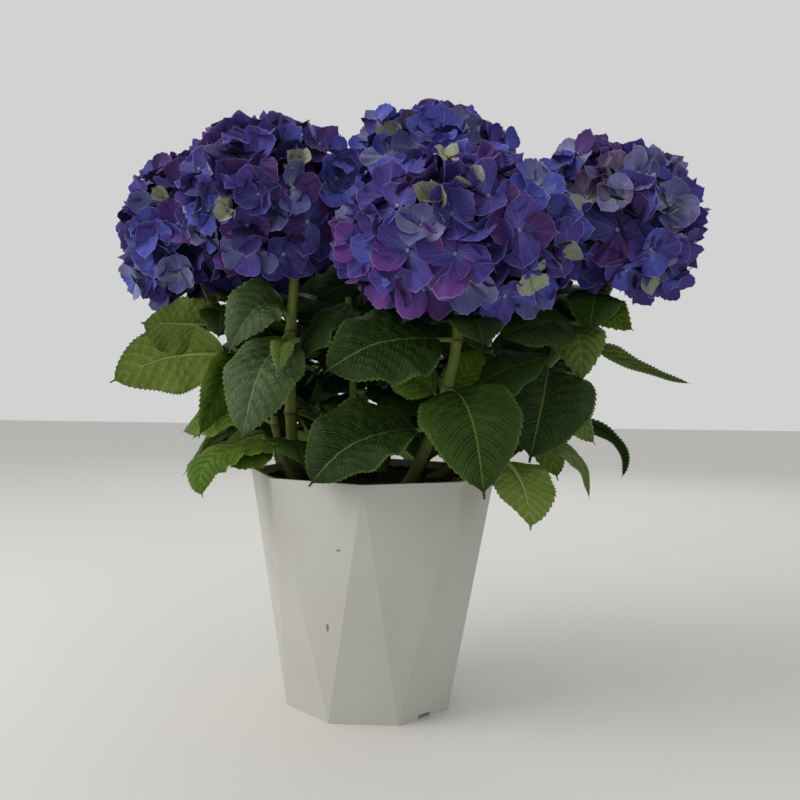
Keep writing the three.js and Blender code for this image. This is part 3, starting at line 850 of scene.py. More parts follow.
@dataclass(frozen=True)
class PlasticFinish:
    """The pot's pale matte plastic, with a fine moulded grain, dust and a few dark specks."""

    base: Colour = (0.535, 0.535, 0.488)
    dust: Colour = (0.47, 0.46, 0.41)
    speck: Colour = (0.05, 0.05, 0.03)
    stain: Colour = (0.16, 0.17, 0.05)
    # The marks on the front: each one's x and z, and half its width and height.
    marks: tuple[tuple[float, ...], ...] = ((-26.5, 67, 1.2, 3.4), (-19.5, 120, 2.0, 0.8))
    roughness: float = 0.46
    gloss: float = 0.4

    def material(self) -> bpy.types.Material:
        """Makes the finish in the part's own space.

        Returns:
            The material.
        """
        shader = Shader("pot_plastic")
        place = shader.node("ShaderNodeTexCoord", None, None, "Object")
        cloud = shader.noise(place, 22.0, 4.0).step(0.4, 0.68)
        cells = shader.node("ShaderNodeTexVoronoi", None, {"Vector": place, "Scale": 62.0})
        rare = shader.node("ShaderNodeSeparateColor", None, {0: cells.pick("Color")})
        size = rare.pick("Green") * 0.045 + 0.012
        speck = (1 - (cells / size).step(0.6, 1.0)) * (rare > 0.8)
        colour = shader.mix(self.base, self.dust, cloud * 0.35)
        colour = shader.mix(colour, self.speck, speck * 0.8)
        parts = shader.node("ShaderNodeSeparateXYZ", None, {0: place})
        front = 1 - (parts.pick("Y") > 0.0)
        for x, z, wide, tall in self.marks:
            dx = (parts - x * MM) / (wide * MM)
            dz = (parts.pick("Z") - z * MM) / (tall * MM)
            mark = (1 - (dx * dx + dz * dz).step(0.4, 1.0)) * front
            colour = shader.mix(colour, self.stain, mark * 0.85)
        grain = shader.noise(place, 900.0, 2.0)
        return shader.surface({
            "Base Color": colour,
            "Roughness": self.roughness + cloud * 0.08,
            "Normal": shader.bump(grain, 0.05, 0.5),
            "Specular IOR Level": self.gloss,
        })


@dataclass(frozen=True)
class SoilFinish:
    """Dark, moist compost."""

    dark: Colour = (0.010, 0.007, 0.005)
    light: Colour = (0.040, 0.027, 0.017)
    scale: float = 260.0
    roughness: float = 0.86
    gloss: float = 0.25

    def material(self) -> bpy.types.Material:
        """Makes the finish in the part's own space.

        Returns:
            The material.
        """
        shader = Shader("compost")
        place = shader.node("ShaderNodeTexCoord", None, None, "Object")
        lump = shader.noise(place, self.scale, 5.0).step(0.35, 0.7)
        fibre = shader.cells(place, self.scale * 1.7)
        return shader.surface({
            "Base Color": shader.mix(self.dark, self.light, lump * (1 - fibre.step(0.1, 0.7))),
            "Roughness": self.roughness + lump * 0.1,
            "Normal": shader.bump(lump + fibre * 0.6, 0.8, 0.9),
            "Specular IOR Level": self.gloss,
        })


@dataclass(frozen=True)
class PlainFinish:
    """A small part's finish: one colour, clouded with another."""

    name: str
    base: Colour
    cloud: Colour
    roughness: float = 0.5

    def material(self) -> bpy.types.Material:
        """Makes the finish on the part's chart.

        Returns:
            The material.
        """
        shader = Shader(self.name)
        around, along = shader.chart()
        noise = shader.noise(shader.vector(around * 5, along * 5), 1.0, 3.0).step(0.36, 0.64)
        return shader.surface({
            "Base Color": shader.mix(self.base, self.cloud, noise),
            "Roughness": self.roughness + noise * 0.1,
            "Normal": shader.bump(noise, 0.2, 0.4),
        })


STALK_BARK = BarkFinish("stalk_bark", (0.17, 0.24, 0.06), (0.13, 0.19, 0.05), (0.05, 0.06, 0.03))
PALE_STALK_BARK = BarkFinish(
    "pale_stalk_bark", (0.40, 0.46, 0.16), (0.33, 0.40, 0.13), (0.05, 0.06, 0.03))
CANE_BARK = BarkFinish(
    "cane_bark", (0.150, 0.200, 0.036), (0.085, 0.092, 0.026), (0.02, 0.015, 0.01), pores=1.0)
JOINT_BARK = PlainFinish("joint_bark", (0.085, 0.065, 0.030), (0.045, 0.030, 0.018), 0.6)
BEAD = PlainFinish("bead", (0.34, 0.38, 0.46), (0.22, 0.24, 0.42), 0.4)
FLORET_STALK = PlainFinish("floret_stalk", (0.20, 0.24, 0.14), (0.16, 0.15, 0.22), 0.5)
SEPALS = (
    SepalFinish(INDIGO, (0.095, 0.102, 0.356), (0.056, 0.048, 0.232), (0.063, 0.037, 0.205),
                (0.052, 0.056, 0.265), (0.259, 0.248, 0.486)),
    SepalFinish(VIOLET, (0.150, 0.140, 0.480), (0.086, 0.066, 0.330), (0.098, 0.050, 0.300),
                (0.066, 0.068, 0.360), (0.290, 0.270, 0.540)),
    SepalFinish(BLUE, (0.176, 0.228, 0.630), (0.092, 0.118, 0.492), (0.082, 0.086, 0.445),
                (0.094, 0.085, 0.426), (0.325, 0.347, 0.650)),
    SepalFinish(MAGENTA, (0.105, 0.085, 0.430), (0.098, 0.048, 0.300), (0.160, 0.046, 0.250),
                (0.170, 0.056, 0.290), (0.350, 0.260, 0.500)),
    SepalFinish(PLUM, (0.085, 0.064, 0.265), (0.074, 0.032, 0.180), (0.098, 0.030, 0.143),
                (0.059, 0.036, 0.180), (0.276, 0.201, 0.382)),
    SepalFinish(SLATE, (0.280, 0.345, 0.455), (0.124, 0.148, 0.360), (0.120, 0.118, 0.358),
                (0.138, 0.115, 0.287), (0.345, 0.345, 0.529)),
    SepalFinish(MIST, (0.400, 0.465, 0.470), (0.238, 0.256, 0.475), (0.226, 0.212, 0.462),
                (0.171, 0.165, 0.342), (0.479, 0.467, 0.604)),
    SepalFinish(GREEN, (0.360, 0.410, 0.170), (0.380, 0.420, 0.270), (0.330, 0.350, 0.320),
                (0.280, 0.310, 0.240), (0.480, 0.480, 0.460)),
    SepalFinish(HEARTED, (0.405, 0.435, 0.340), (0.212, 0.196, 0.300), (0.134, 0.056, 0.182),
                (0.162, 0.097, 0.227), (0.378, 0.313, 0.432)),
    # Painted shade: the hidden florets' sepals, near-black to darken the gaps deep in each head.
    SepalFinish(NIGHT, (0.030, 0.032, 0.110), (0.018, 0.015, 0.070), (0.020, 0.012, 0.060),
                (0.016, 0.018, 0.080), (0.060, 0.055, 0.130)),
)
LEAVES = (
    LeafFinish(DEEP, (0.007, 0.022, 0.002), (0.023, 0.053, 0.006), (0.100, 0.175, 0.034),
               (0.110, 0.180, 0.022), (0.210, 0.300, 0.060), 0.36),
    LeafFinish(MID, (0.012, 0.035, 0.003), (0.038, 0.085, 0.008), (0.130, 0.225, 0.042),
               (0.135, 0.220, 0.026), (0.240, 0.340, 0.075), 0.36),
    LeafFinish(FRESH, (0.066, 0.138, 0.008), (0.110, 0.200, 0.017), (0.190, 0.290, 0.060),
               (0.170, 0.270, 0.030), (0.280, 0.380, 0.090), 0.34),
    # PALE: yellow-green leaves. Their undersides are a paler green, brightened further as painted light
    # that stands in for light shining through the leaf.
    LeafFinish(PALE, (0.095, 0.165, 0.024), (0.150, 0.225, 0.042), (0.240, 0.320, 0.090),
               (0.225, 0.345, 0.052), (0.450, 0.540, 0.170), 0.42),
    LeafFinish(SATIN, (0.020, 0.052, 0.008), (0.060, 0.115, 0.022), (0.150, 0.230, 0.055),
               (0.150, 0.220, 0.034), (0.240, 0.320, 0.085), 0.34, 0.36),
)


@dataclass
class Leaf:
    """A leaf in its place, as the growing rule sets it."""

    owner: str
    root: Array
    tip: Array
    width: float
    arch: float
    roll: float
    look: Look = MID
    fold: float = 14.0
    twist: float = 0.0
    bow: float = 0.0
    pinch: float = 0.0
    lean: tuple[float, float, float] = (0.0, 0.0, 0.0)
    inner: bool = False
    marks: Array = field(default_factory=lambda: np.zeros((0, 3)))
    shares: Array = field(default_factory=lambda: np.zeros(0))

    def spine(self) -> Arc:
        """The arch that the leaf follows from its root to its tip."""
        middle = (self.root + self.tip) / 2
        return Arc(self.root, middle + UP * 2 * self.arch + ACROSS * 2 * self.bow, self.tip)

    def drawn(self) -> Arc:
        """The same arch with the leaf's own lean.

        Returns:
            The arch that the leaf's mesh follows.
        """
        arc = self.spine()
        fall, right, rise = self.lean
        return Arc(arc.start - UP * fall, arc.bend + ACROSS * right + UP * rise, arc.end)

    def axes(self, arc: Arc, share: Array) -> tuple[Array, Array]:
        """The leaf's own axes along its arch.

        Args:
            arc: the arch.
            share: where on it they are wanted.

        Returns:
            The directions across the leaf and out of its face.
        """
        along = arc.tangent(share)
        side = self.side()
        side = unit(side - along * (along @ side)[..., None])
        return side, np.cross(side, along)

    def droop(self, share: Array) -> Array:
        """How far the blade curls down, at shares of its own length."""
        return -Blade.DROOP * self.width * smooth(share, 0.5, 1.0)

    def side(self) -> Array:
        """Which way the leaf's width lies.

        Returns:
            The direction across it, rolled about its run.
        """
        along = unit(self.tip - self.root)
        rise = unit(UP - along * along[2])
        turn = math.radians(self.roll)
        return np.cross(along, rise) * math.cos(turn) + rise * math.sin(turn)


class Blade:
    """The form of a leaf: its outline, folds, veins, teeth and stalk."""

    PETIOLE = 0.14
    FOLD = 14.0
    VEINS = 9
    VEIN_SLANT = 0.3
    VEIN_CURVE = 1.2
    LANE = 0.235
    THICK = 0.5
    TOOTH = 2.9
    INNER_TOOTH = 5.0
    TOOTH_PEAK = 0.62
    TOOTH_DEPTH = 1.5
    CURL = 0.32
    DROOP = 0.08
    QUILT = 0.07
    WAVE = 0.085
    CRIMP = 0.012
    SWAY = 0.05
    TWIST = 9.0
    COLUMNS = (0.0, 0.08, 0.26, 0.48, 0.7, 0.9, 1.0)
    INNER_COLUMNS = (0.0, 0.3, 0.7, 1.0)
    MARK_ROWS = (np.arange(11) + 0.5) / 11
    MARK_COLUMNS = (-1, -0.67, -0.33, 0, 0.33, 0.67, 1)

    @staticmethod
    def shape(share: Array) -> Array:
        """The blade's half width at shares of its length, as the solids have it."""
        share = np.asarray(share, float)
        return np.sin(np.pi * share ** 0.85) ** 0.62 * (1 - 0.2 * share ** 6)

    @classmethod
    def outline(cls, share: Array) -> Array:
        """The same half width, drawn out to a fine tip.

        Args:
            share: shares of the blade's length.

        Returns:
            The half width at each, as a share of the widest.
        """
        body = cls.shape(np.clip(share / 0.955, 0, 0.999))
        tail = 0.06 * (np.clip(1 - share, 0, 0.1) / 0.1) ** 0.8
        return np.maximum(np.maximum(body, tail), 0.022)

    @classmethod
    def marks(cls, leaf: Leaf) -> tuple[Array, Array]:
        """Points spread over a leaf, that stand for it in tests.

        Args:
            leaf: the leaf.

        Returns:
            The points, and each one's share of the leaf's length.
        """
        spine = leaf.spine()
        stalk = np.array([0.4, 0.8]) * cls.PETIOLE
        s, t = np.meshgrid(cls.MARK_ROWS, cls.MARK_COLUMNS, indexing="ij")
        share = cls.PETIOLE + (1 - cls.PETIOLE) * s
        side, face = leaf.axes(spine, share)
        half = (leaf.width / 2 * cls.shape(s) * t)[..., None]
        fold = math.radians(cls.FOLD)
        blade = spine.point(share) + side * half * math.cos(fold) + face * abs(half) * math.sin(fold)
        points = np.concatenate([spine.point(stalk), blade.reshape(-1, 3)])
        return points, np.concatenate([stalk, share.ravel()])

    @classmethod
    def mesh(cls, leaf: Leaf, rng: np.random.Generator) -> tuple[Array, Array, Array]:
        """A leaf's blade as two sheets that meet at its toothed margin.

        Args:
            leaf: the leaf.
            rng: the source of its small differences.

        Returns:
            Its points, triangles and chart places.
        """
        length = float(np.linalg.norm(leaf.tip - leaf.root))
        teeth = round(length * (1 - cls.PETIOLE) / (cls.INNER_TOOTH if leaf.inner else cls.TOOTH))
        half_row = cls.INNER_COLUMNS if leaf.inner else cls.COLUMNS
        columns = np.array([-c for c in reversed(half_row[1:])] + list(half_row))
        rows = np.sort(np.concatenate([
            np.arange(teeth) / teeth, (np.arange(teeth) + cls.TOOTH_PEAK) / teeth, [1.0]]))
        peak = np.zeros(len(rows))
        peak[1:-1:2] = 1.0
        s, t = np.meshgrid(rows, columns, indexing="ij")
        edge = (abs(t) > 0.99) * peak[:, None] * smooth(s, 0.02, 0.16) * (1 - smooth(s, 0.86, 0.97))
        s = s + edge * 0.4 / teeth
        share = cls.PETIOLE + (1 - cls.PETIOLE) * s
        spine = leaf.drawn()
        side, face = leaf.axes(spine, share)
        turn = np.radians(leaf.twist + rng.uniform(-cls.TWIST, cls.TWIST)) * (s - 0.4)[..., None]
        cosine, sine = np.cos(turn), np.sin(turn)
        side, face = side * cosine + face * sine, face * cosine - side * sine
        width = leaf.width / 2 * cls.outline(s) * (1 - leaf.pinch * smooth(s, 0.2, 0.5))
        out = t * (width + edge * cls.TOOTH_DEPTH)
        fold = math.radians(leaf.fold) * (1.1 - 0.4 * s)
        lift = abs(out) * np.sin(fold) - abs(out) * abs(t) ** 2 * cls.CURL
        flow = s - cls.VEIN_SLANT * cls.shape(np.clip(s, 0, 1)) * abs(t) ** cls.VEIN_CURVE
        quilt = abs(np.cos(np.pi * cls.VEINS * flow)) ** 0.7
        window = smooth(abs(t), 0.0, 0.12) * (1 - abs(t) ** 5)
        lift = lift + window * (quilt - 0.5) * cls.QUILT * width
        waves = rng.uniform(2.2, 3.6)
        phase = np.where(t > 0, rng.uniform(0, 6.28), rng.uniform(0, 6.28))
        lift = lift + cls.WAVE * width * abs(t) ** 2.4 * np.sin(2 * np.pi * waves * s + phase)
        crimp = np.sin(s * 61 + rng.uniform(0, 6)) * np.sin(t * 13 + s * 17 + rng.uniform(0, 6))
        lift = lift + crimp * cls.CRIMP * width + leaf.droop(s)
        sway = rng.uniform(-cls.SWAY, cls.SWAY) * leaf.width * np.sin(np.pi * np.clip(s, 0, 1))
        aside = (out * np.cos(fold) + sway)[..., None]
        middle = spine.point(share) + side * aside + face * lift[..., None]
        thick = (cls.THICK / 2 * (1 - abs(t) ** 4) * np.clip(width / 3, 0.1, 1))[..., None]
        lanes = (0.25 + cls.LANE * t, 0.75 - cls.LANE * t)
        places = [np.stack([np.clip(s, 0, 1), lane], -1).reshape(-1, 2) for lane in lanes]
        sheets = [(middle + face * thick).reshape(-1, 3), (middle - face * thick).reshape(-1, 3)]
        top = grid_triangles(len(rows), len(columns))
        triangles = np.concatenate([top[:, ::-1], top + s.size])
        return np.concatenate(sheets), triangles, np.concatenate(places)


def tube(
    curve_points: Array, radii: Array, sides: int, ridges: float = 0.0, places: Array | None = None,
) -> tuple[Array, Array, Array]:
    """A closed limb along points.

    Args:
        curve_points: its middle line.
        radii: its radius at each point.
        sides: how many sides it has.
        ridges: the depth of its ribs, as a share of the radius.
        places: the chart's second coordinate at each point, or none for an even spread.

    Returns:
        Its points, triangles and chart places.
    """
    along = unit(np.gradient(curve_points, axis=0))
    aside = np.array([0.0, 1.0, 0.01])
    side = unit(np.cross(along, aside))
    other = np.cross(along, side)
    angle = np.arange(sides + 1) * 2 * np.pi / sides
    rib = 1 + ridges * np.cos(angle * 6)
    cosine, sine = np.cos(angle)[None, :, None], np.sin(angle)[None, :, None]
    ring = side[:, None] * cosine + other[:, None] * sine
    points = curve_points[:, None] + ring * (radii[:, None] * rib[None])[..., None]
    run = np.linspace(0, 1, len(curve_points)) if places is None else places
    chart = np.stack(np.broadcast_arrays(angle[None] / (2 * np.pi), run[:, None]), -1)
    triangles = grid_triangles(len(curve_points), sides + 1)
    ends = np.stack([curve_points[0], curve_points[-1]])
    last = (len(curve_points) - 1) * (sides + 1)
    count = points.shape[0] * points.shape[1]
    k = np.arange(sides)
    foot = np.stack([np.full(sides, count), k + 1, k], 1)
    cap = np.stack([np.full(sides, count + 1), last + k, last + k + 1], 1)
    caps = np.array([[0.5, run[0]], [0.5, run[-1]]])
    return (np.concatenate([points.reshape(-1, 3), ends]), np.concatenate([triangles, foot, cap]),
            np.concatenate([chart.reshape(-1, 2), caps]))


@dataclass(frozen=True)
class Clearance:
    """The room that a leaf keeps. A flower head's is a share of that head's size."""

    other_shoot: float
    same_shoot: float
    stem: float
    head: float


@dataclass(frozen=True)
class Growth:
    """How seeded leaves grow: the limits of their measures, their greens and the room they keep."""

    sway: tuple[float, float]
    reach: tuple[float, float]
    droop: tuple[float, float]
    arch: tuple[float, float]
    roll: tuple[float, float]
    width: float
    looks: tuple[Look, ...]
    clearance: Clearance
    tries: int = 13
    swing: float = 1.0
    inner: bool = False


@dataclass
class Crown:
    """Where every stem runs and every leaf grows: the solids' rule, and smaller leaves inside it."""

    soil_top: float = 156.0
    gap: float = 0.3
    pot_height: float = 164.0
    pot_rim: float = 87.5
    pot_foot: float = 61.0
    pot_clear: float = 4.0
    room: tuple[float, float, float, float] = (-142.0, 160.0, -46.0, 156.0)
    near_stem: float = 0.34
    quarter: float = 90.0
    # What a leaf tries until it finds room: a deeper droop, a turn, and a share of its length.
    retries: tuple[tuple[float, float, float], ...] = (
        (0, 0, 1), (14, 0, 1), (-16, 0, 1), (0, 24, 1), (0, -24, 1), (16, 40, 0.8), (-14, -40, 0.8),
        (26, 12, 0.8), (-24, 10, 0.8), (10, 20, 0.62), (-10, -20, 0.62), (34, -8, 0.62), (-36, 0, 0.62),
    )
    inner_step: float = 5.5
    inner_turn: float = 74.0
    inner_margins: tuple[float, float] = (6.0, 8.0)
    inner_half: tuple[float, float] = (140.0, 84.0)
    inner_middle: float = 42.0
    inner_floor: float = 164.0
    pair_growth: Growth = Growth(
        sway=(-12.0, 12.0), reach=(72.0, 94.0), droop=(10.0, 40.0), arch=(8.0, 16.0),
        roll=(-16.0, 16.0), width=0.64, looks=(DEEP, MID, MID, DEEP),
        clearance=Clearance(other_shoot=9.0, same_shoot=6.0, stem=7.0, head=1.02),
    )
    inner_growth: Growth = Growth(
        sway=(-30.0, 30.0), reach=(54.0, 84.0), droop=(-10.0, 40.0), arch=(4.0, 12.0),
        roll=(-30.0, 30.0), width=0.66, looks=(MID, DEEP, DEEP),
        clearance=Clearance(other_shoot=2.5, same_shoot=2.5, stem=5.0, head=0.84),
        tries=9, swing=1.6, inner=True,
    )
    curves: dict[str, Arc] = field(default_factory=dict)
    stem_marks: dict[str, Array] = field(default_factory=dict)
    leaves: list[Leaf] = field(default_factory=list)

    def grow(self) -> None:
        """Runs the stems, then the set leaves, the seeded pairs and the leaves inside."""
        for stem in STEMS:
            foot = np.array([*stem.foot, self.soil_top + self.gap], float)
            knee, end = np.array(stem.knee, float), np.array(stem.end, float)
            self.curves[stem.name] = Arc(foot, 2 * knee - foot / 2 - end / 2, end)
            self.stem_marks[stem.name] = self.curves[stem.name].point(np.linspace(0, 1, 17))
        for stem in STEMS:
            for row in stem.leaves:
                self.keep(self.set_leaf(stem, row))
        for number, stem in enumerate(STEMS):
            self.grow_pairs(stem, 101 + number)
        log.info("leaves of the solids: %d", len(self.leaves))
        for stem in STEMS:
            for row in stem.backing:
                self.keep(self.set_leaf(stem, row))
        for number, stem in enumerate(STEMS):
            self.grow_inside(stem, 301 + number)
        log.info("leaves in all: %d", len(self.leaves))

    def set_leaf(self, stem: Stem, row: SetLeaf) -> Leaf:
        """A leaf with a set place on its stem.

        Args:
            stem: the stem.
            row: the leaf's own values.

        Returns:
            The leaf.
        """
        root = self.root_at(stem, row.height)
        return Leaf(stem.name, root, np.array(row.tip, float), row.width, row.arch, row.roll,
                    row.look, row.fold, row.twist, row.bow, row.pinch, row.lean)

    def root_at(self, stem: Stem, height: float) -> Array:
        """The point of a stem's middle line at a height."""
        curve = self.curves[stem.name]
        return curve.point(curve.share_at(height))

    def keep(self, leaf: Leaf) -> None:
        """Keeps a leaf, with the points that stand for it."""
        leaf.marks, leaf.shares = Blade.marks(leaf)
        self.leaves.append(leaf)

    def clashes(self, leaf: Leaf, clearance: Clearance) -> bool:
        """Whether a leaf would leave its room.

        Args:
            leaf: the leaf.
            clearance: the room that it keeps.

        Returns:
            True if it would be in a head, the pot, a stem or another leaf.
        """
        points, shares = Blade.marks(leaf)
        radius = self.pot_foot + (self.pot_rim - self.pot_foot) * points[:, 2] / self.pot_height
        low = points[:, 2] < self.pot_height + self.pot_clear
        if (low & (np.hypot(points[:, 0], points[:, 1]) < radius + self.pot_clear)).any():
            return True
        for stem in STEMS:
            if stem.head and (head_depth(stem.head, points) < clearance.head).any():
                return True
        far = shares > self.near_stem
        for name, marks in self.stem_marks.items():
            tested = points[far] if name == leaf.owner else points
            if nearest(tested, marks) < clearance.stem:
                return True
        for there in self.leaves:
            if there.owner != leaf.owner:
                if nearest(points, there.marks) < clearance.other_shoot:
                    return True
            else:
                outer = there.marks[there.shares >= self.near_stem]
                if nearest(points[far], outer) < clearance.same_shoot:
                    return True
        return False

    def out_of_room(self, leaf: Leaf) -> bool:
        """Whether a seeded leaf would stand in front of, out past or below the set ones.

        Args:
            leaf: the leaf.

        Returns:
            True if it would.
        """
        points, _ = Blade.marks(leaf)
        left, right, front, low = self.room
        x, y, z = points.T
        hangs = (z < low) & (abs(x) > self.pot_rim)
        return bool(((x < left) | (x > right) | (y < front) | hangs).any())

    def outside(self, leaf: Leaf) -> bool:
        """Whether a small leaf would stand out of the middle of the foliage.

        Args:
            leaf: the leaf.

        Returns:
            True if it would.
        """
        points, _ = Blade.marks(leaf)
        x, y, z = points.T
        wide = (x / self.inner_half[0]) ** 2 + ((y - self.inner_middle) / self.inner_half[1]) ** 2
        return bool((wide > 1).any() or (z < self.inner_floor).any())

    def grow_pairs(self, stem: Stem, seed: int) -> None:
        """Grows a stem's seeded pairs of leaves, each a quarter turn on from the last.

        Args:
            stem: the stem.
            seed: the start of its random numbers.
        """
        seeded = Seeded(seed)
        for k, height in enumerate(stem.pairs):
            self.grow_two(stem, height, stem.turn + self.quarter * k, self.pair_growth, seeded)

    def grow_inside(self, stem: Stem, seed: int) -> None:
        """Grows smaller leaves between a stem's pairs, where the shoots still have room.

        Args:
            stem: the stem.
            seed: the start of its random numbers.
        """
        seeded = Seeded(seed)
        above, below = self.inner_margins
        height, turn = stem.bare + above, stem.turn + self.quarter / 2
        while height < stem.end[2] - below:
            self.grow_two(stem, height, turn, self.inner_growth, seeded)
            height += self.inner_step
            turn += self.inner_turn

    def grow_two(
        self, stem: Stem, height: float, turn: float, growth: Growth, seeded: Seeded
    ) -> None:
        """Grows two leaves from opposite sides of a stem, each one if it finds room.

        Args:
            stem: the stem.
            height: where on it they sit.
            turn: the first one's heading.
            growth: how they grow.
            seeded: the source of their small differences.
        """
        root = self.root_at(stem, height)
        limits = (growth.reach, growth.droop, growth.arch, growth.roll)
        for half in (0, 180):
            heading = turn + half + seeded.between(*growth.sway)
            reach, droop, arch, roll = (seeded.between(*pair) for pair in limits)
            look = growth.looks[len(self.leaves) % len(growth.looks)]
            for lower, aside, share in self.retries[:growth.tries]:
                way = heading_vector(heading + growth.swing * aside, droop + lower)
                leaf = Leaf(
                    stem.name, root, root + way * reach * share, reach * share * growth.width,
                    arch * share, roll, look, inner=growth.inner,
                )
                strays = self.outside(leaf) if growth.inner else self.out_of_room(leaf)
                if not strays and not self.clashes(leaf, growth.clearance):
                    self.keep(leaf)
                    break


def heading_vector(heading: float, droop: float) -> Array:
    """The direction of a heading from the front, lowered by a droop, both in degrees."""
    a, d = math.radians(heading), math.radians(droop)
    return np.array([math.sin(a) * math.cos(d), -math.cos(a) * math.cos(d), -math.sin(d)])


def nearest(first: Array, second: Array) -> float:
    """The least distance between two sets of points."""
    gaps = first[:, None] - second[None]
    return math.sqrt(np.einsum("ijk,ijk->ij", gaps, gaps).min())


def head_depth(head: Head, points: Array) -> Array:
    """How deep points are in a head's round form: under 1 is inside it."""
    return np.linalg.norm((points - np.array(head.centre)) / np.array(head.size), axis=-1)


@dataclass
class Foliage:
    """The leaves, with their stalks and midribs."""

    crown: Crown
    seed: int = 41
    stalk_radius: float = 1.75
    stalk_sides: int = 8
    stalk_rings: int = 18

    def build(self) -> None:
        """Builds one joined piece for each green, and two for the stalks."""
        rng = np.random.default_rng(self.seed)
        masses = {look: Mass() for look in Look}
        stalks, pale_stalks = Mass(), Mass()
        for leaf in self.crown.leaves:
            masses[leaf.look].add(*Blade.mesh(leaf, rng))
            (pale_stalks if leaf.look is PALE else stalks).add(*self.stalk(leaf))
        shoots = nodes_of("shoot_")
        for finish in LEAVES:
            name = "leaves_" + finish.look.value
            masses[finish.look].build(name, finish.material(), "leaf", shoots)
        stalks.build("leaf_stalks", STALK_BARK.material(), "leaf", shoots)
        pale_stalks.build("pale_leaf_stalks", PALE_STALK_BARK.material(), "leaf", shoots)

    def stalk(self, leaf: Leaf) -> tuple[Array, Array, Array]:
        """A leaf's stalk, which runs on under the blade as its midrib.

        Args:
            leaf: the leaf.

        Returns:
            Its points, triangles and chart places.
        """
        rings = self.stalk_rings // 2 if leaf.inner else self.stalk_rings
        share = np.linspace(0, 0.8, rings) ** 1.15
        spine = leaf.drawn()
        _, face = leaf.axes(spine, share)
        scale = min(1.0, leaf.width / 46) * self.stalk_radius
        radii = scale * (1.15 - 0.3 * smooth(share, 0, 0.12) - 0.6 * smooth(share, 0.1, 0.8))
        below = smooth(share, Blade.PETIOLE - 0.04, Blade.PETIOLE + 0.05)
        points = spine.point(share) - face * (below * radii * 0.75)[:, None]
        droop = leaf.droop((share - Blade.PETIOLE) / (1 - Blade.PETIOLE))
        points = points + face * droop[:, None]
        return tube(points, radii, 5 if leaf.inner else self.stalk_sides)


@dataclass
class Canes:
    """The stems from the soil to the flower heads, with swollen joints where leaves sit."""

    crown: Crown
    flare: float = 5.8
    foot: float = 4.2
    top: float = 3.2
    flare_height: float = 9.0
    blind_taper: float = 0.72
    swelling: float = 0.2
    swelling_height: float = 2.6
    joint_spacing: float = 7.0
    collar: float = 1.5
    ridges: float = 0.018
    sides: int = 18
    rings: int = 90

    def build(self) -> None:
        """Builds the stems as one piece and their brown joints as another."""
        stems, joints = Mass(), Mass()
        for stem in STEMS:
            curve = self.crown.curves[stem.name]
            share = np.linspace(0, 1, self.rings)
            points = curve.point(share)
            radii = self.radius(stem, curve, share)
            for height in self.joint_heights(stem):
                near = (points[:, 2] - height) / self.swelling_height
                radii = radii * (1 + self.swelling * np.exp(-(near ** 2)))
                joints.add(*self.joint(stem, curve, height))
            rise = (points[:, 2] - self.crown.soil_top) / 200
            stems.add(*tube(points, radii, self.sides, self.ridges, np.clip(rise, 0, 1)))
        canes = nodes_of("cane_")
        stems.build("stems", CANE_BARK.material(), "cane", canes)
        joints.build("stem_joints", JOINT_BARK.material(), "cane", canes)

    def radius(self, stem: Stem, curve: Arc, share: Array) -> Array:
        """A stem's radius: an even taper, with a flare at the soil.

        Args:
            stem: the stem.
            curve: its middle line.
            share: shares of its run.

        Returns:
            The radius at each.
        """
        scale = 1.0 if stem.head else self.blind_taper
        flare_end = curve.share_at(self.crown.soil_top + self.flare_height)
        flare = (self.flare - self.foot) * np.clip(1 - share / flare_end, 0, 1) ** 2
        return scale * (self.foot + (self.top - self.foot) * share + flare)

    def joint_heights(self, stem: Stem) -> list[float]:
        """The heights of a stem's joints, a little apart.

        Args:
            stem: the stem.

        Returns:
            The heights, from the lowest.
        """
        found: list[float] = []
        for height in sorted([*stem.pairs, *(leaf.height for leaf in stem.leaves)]):
            if not found or height - found[-1] > self.joint_spacing:
                found.append(height)
        return found

    def joint(self, stem: Stem, curve: Arc, height: float) -> tuple[Array, Array, Array]:
        """A thin brown collar round a joint.

        Args:
            stem: the stem.
            curve: its middle line.
            height: the joint's height.

        Returns:
            Its points, triangles and chart places.
        """
        spread = np.linspace(-1, 1, 7)
        length = np.linalg.norm(curve.end - curve.start)
        share = np.clip(curve.share_at(height) + spread * self.collar / length, 0, 1)
        bulge = 1.235 + 0.05 * np.cos(spread * math.pi / 2)
        bulge[[0, -1]] = 0.9
        return tube(curve.point(share), self.radius(stem, curve, share) * bulge, self.sides)


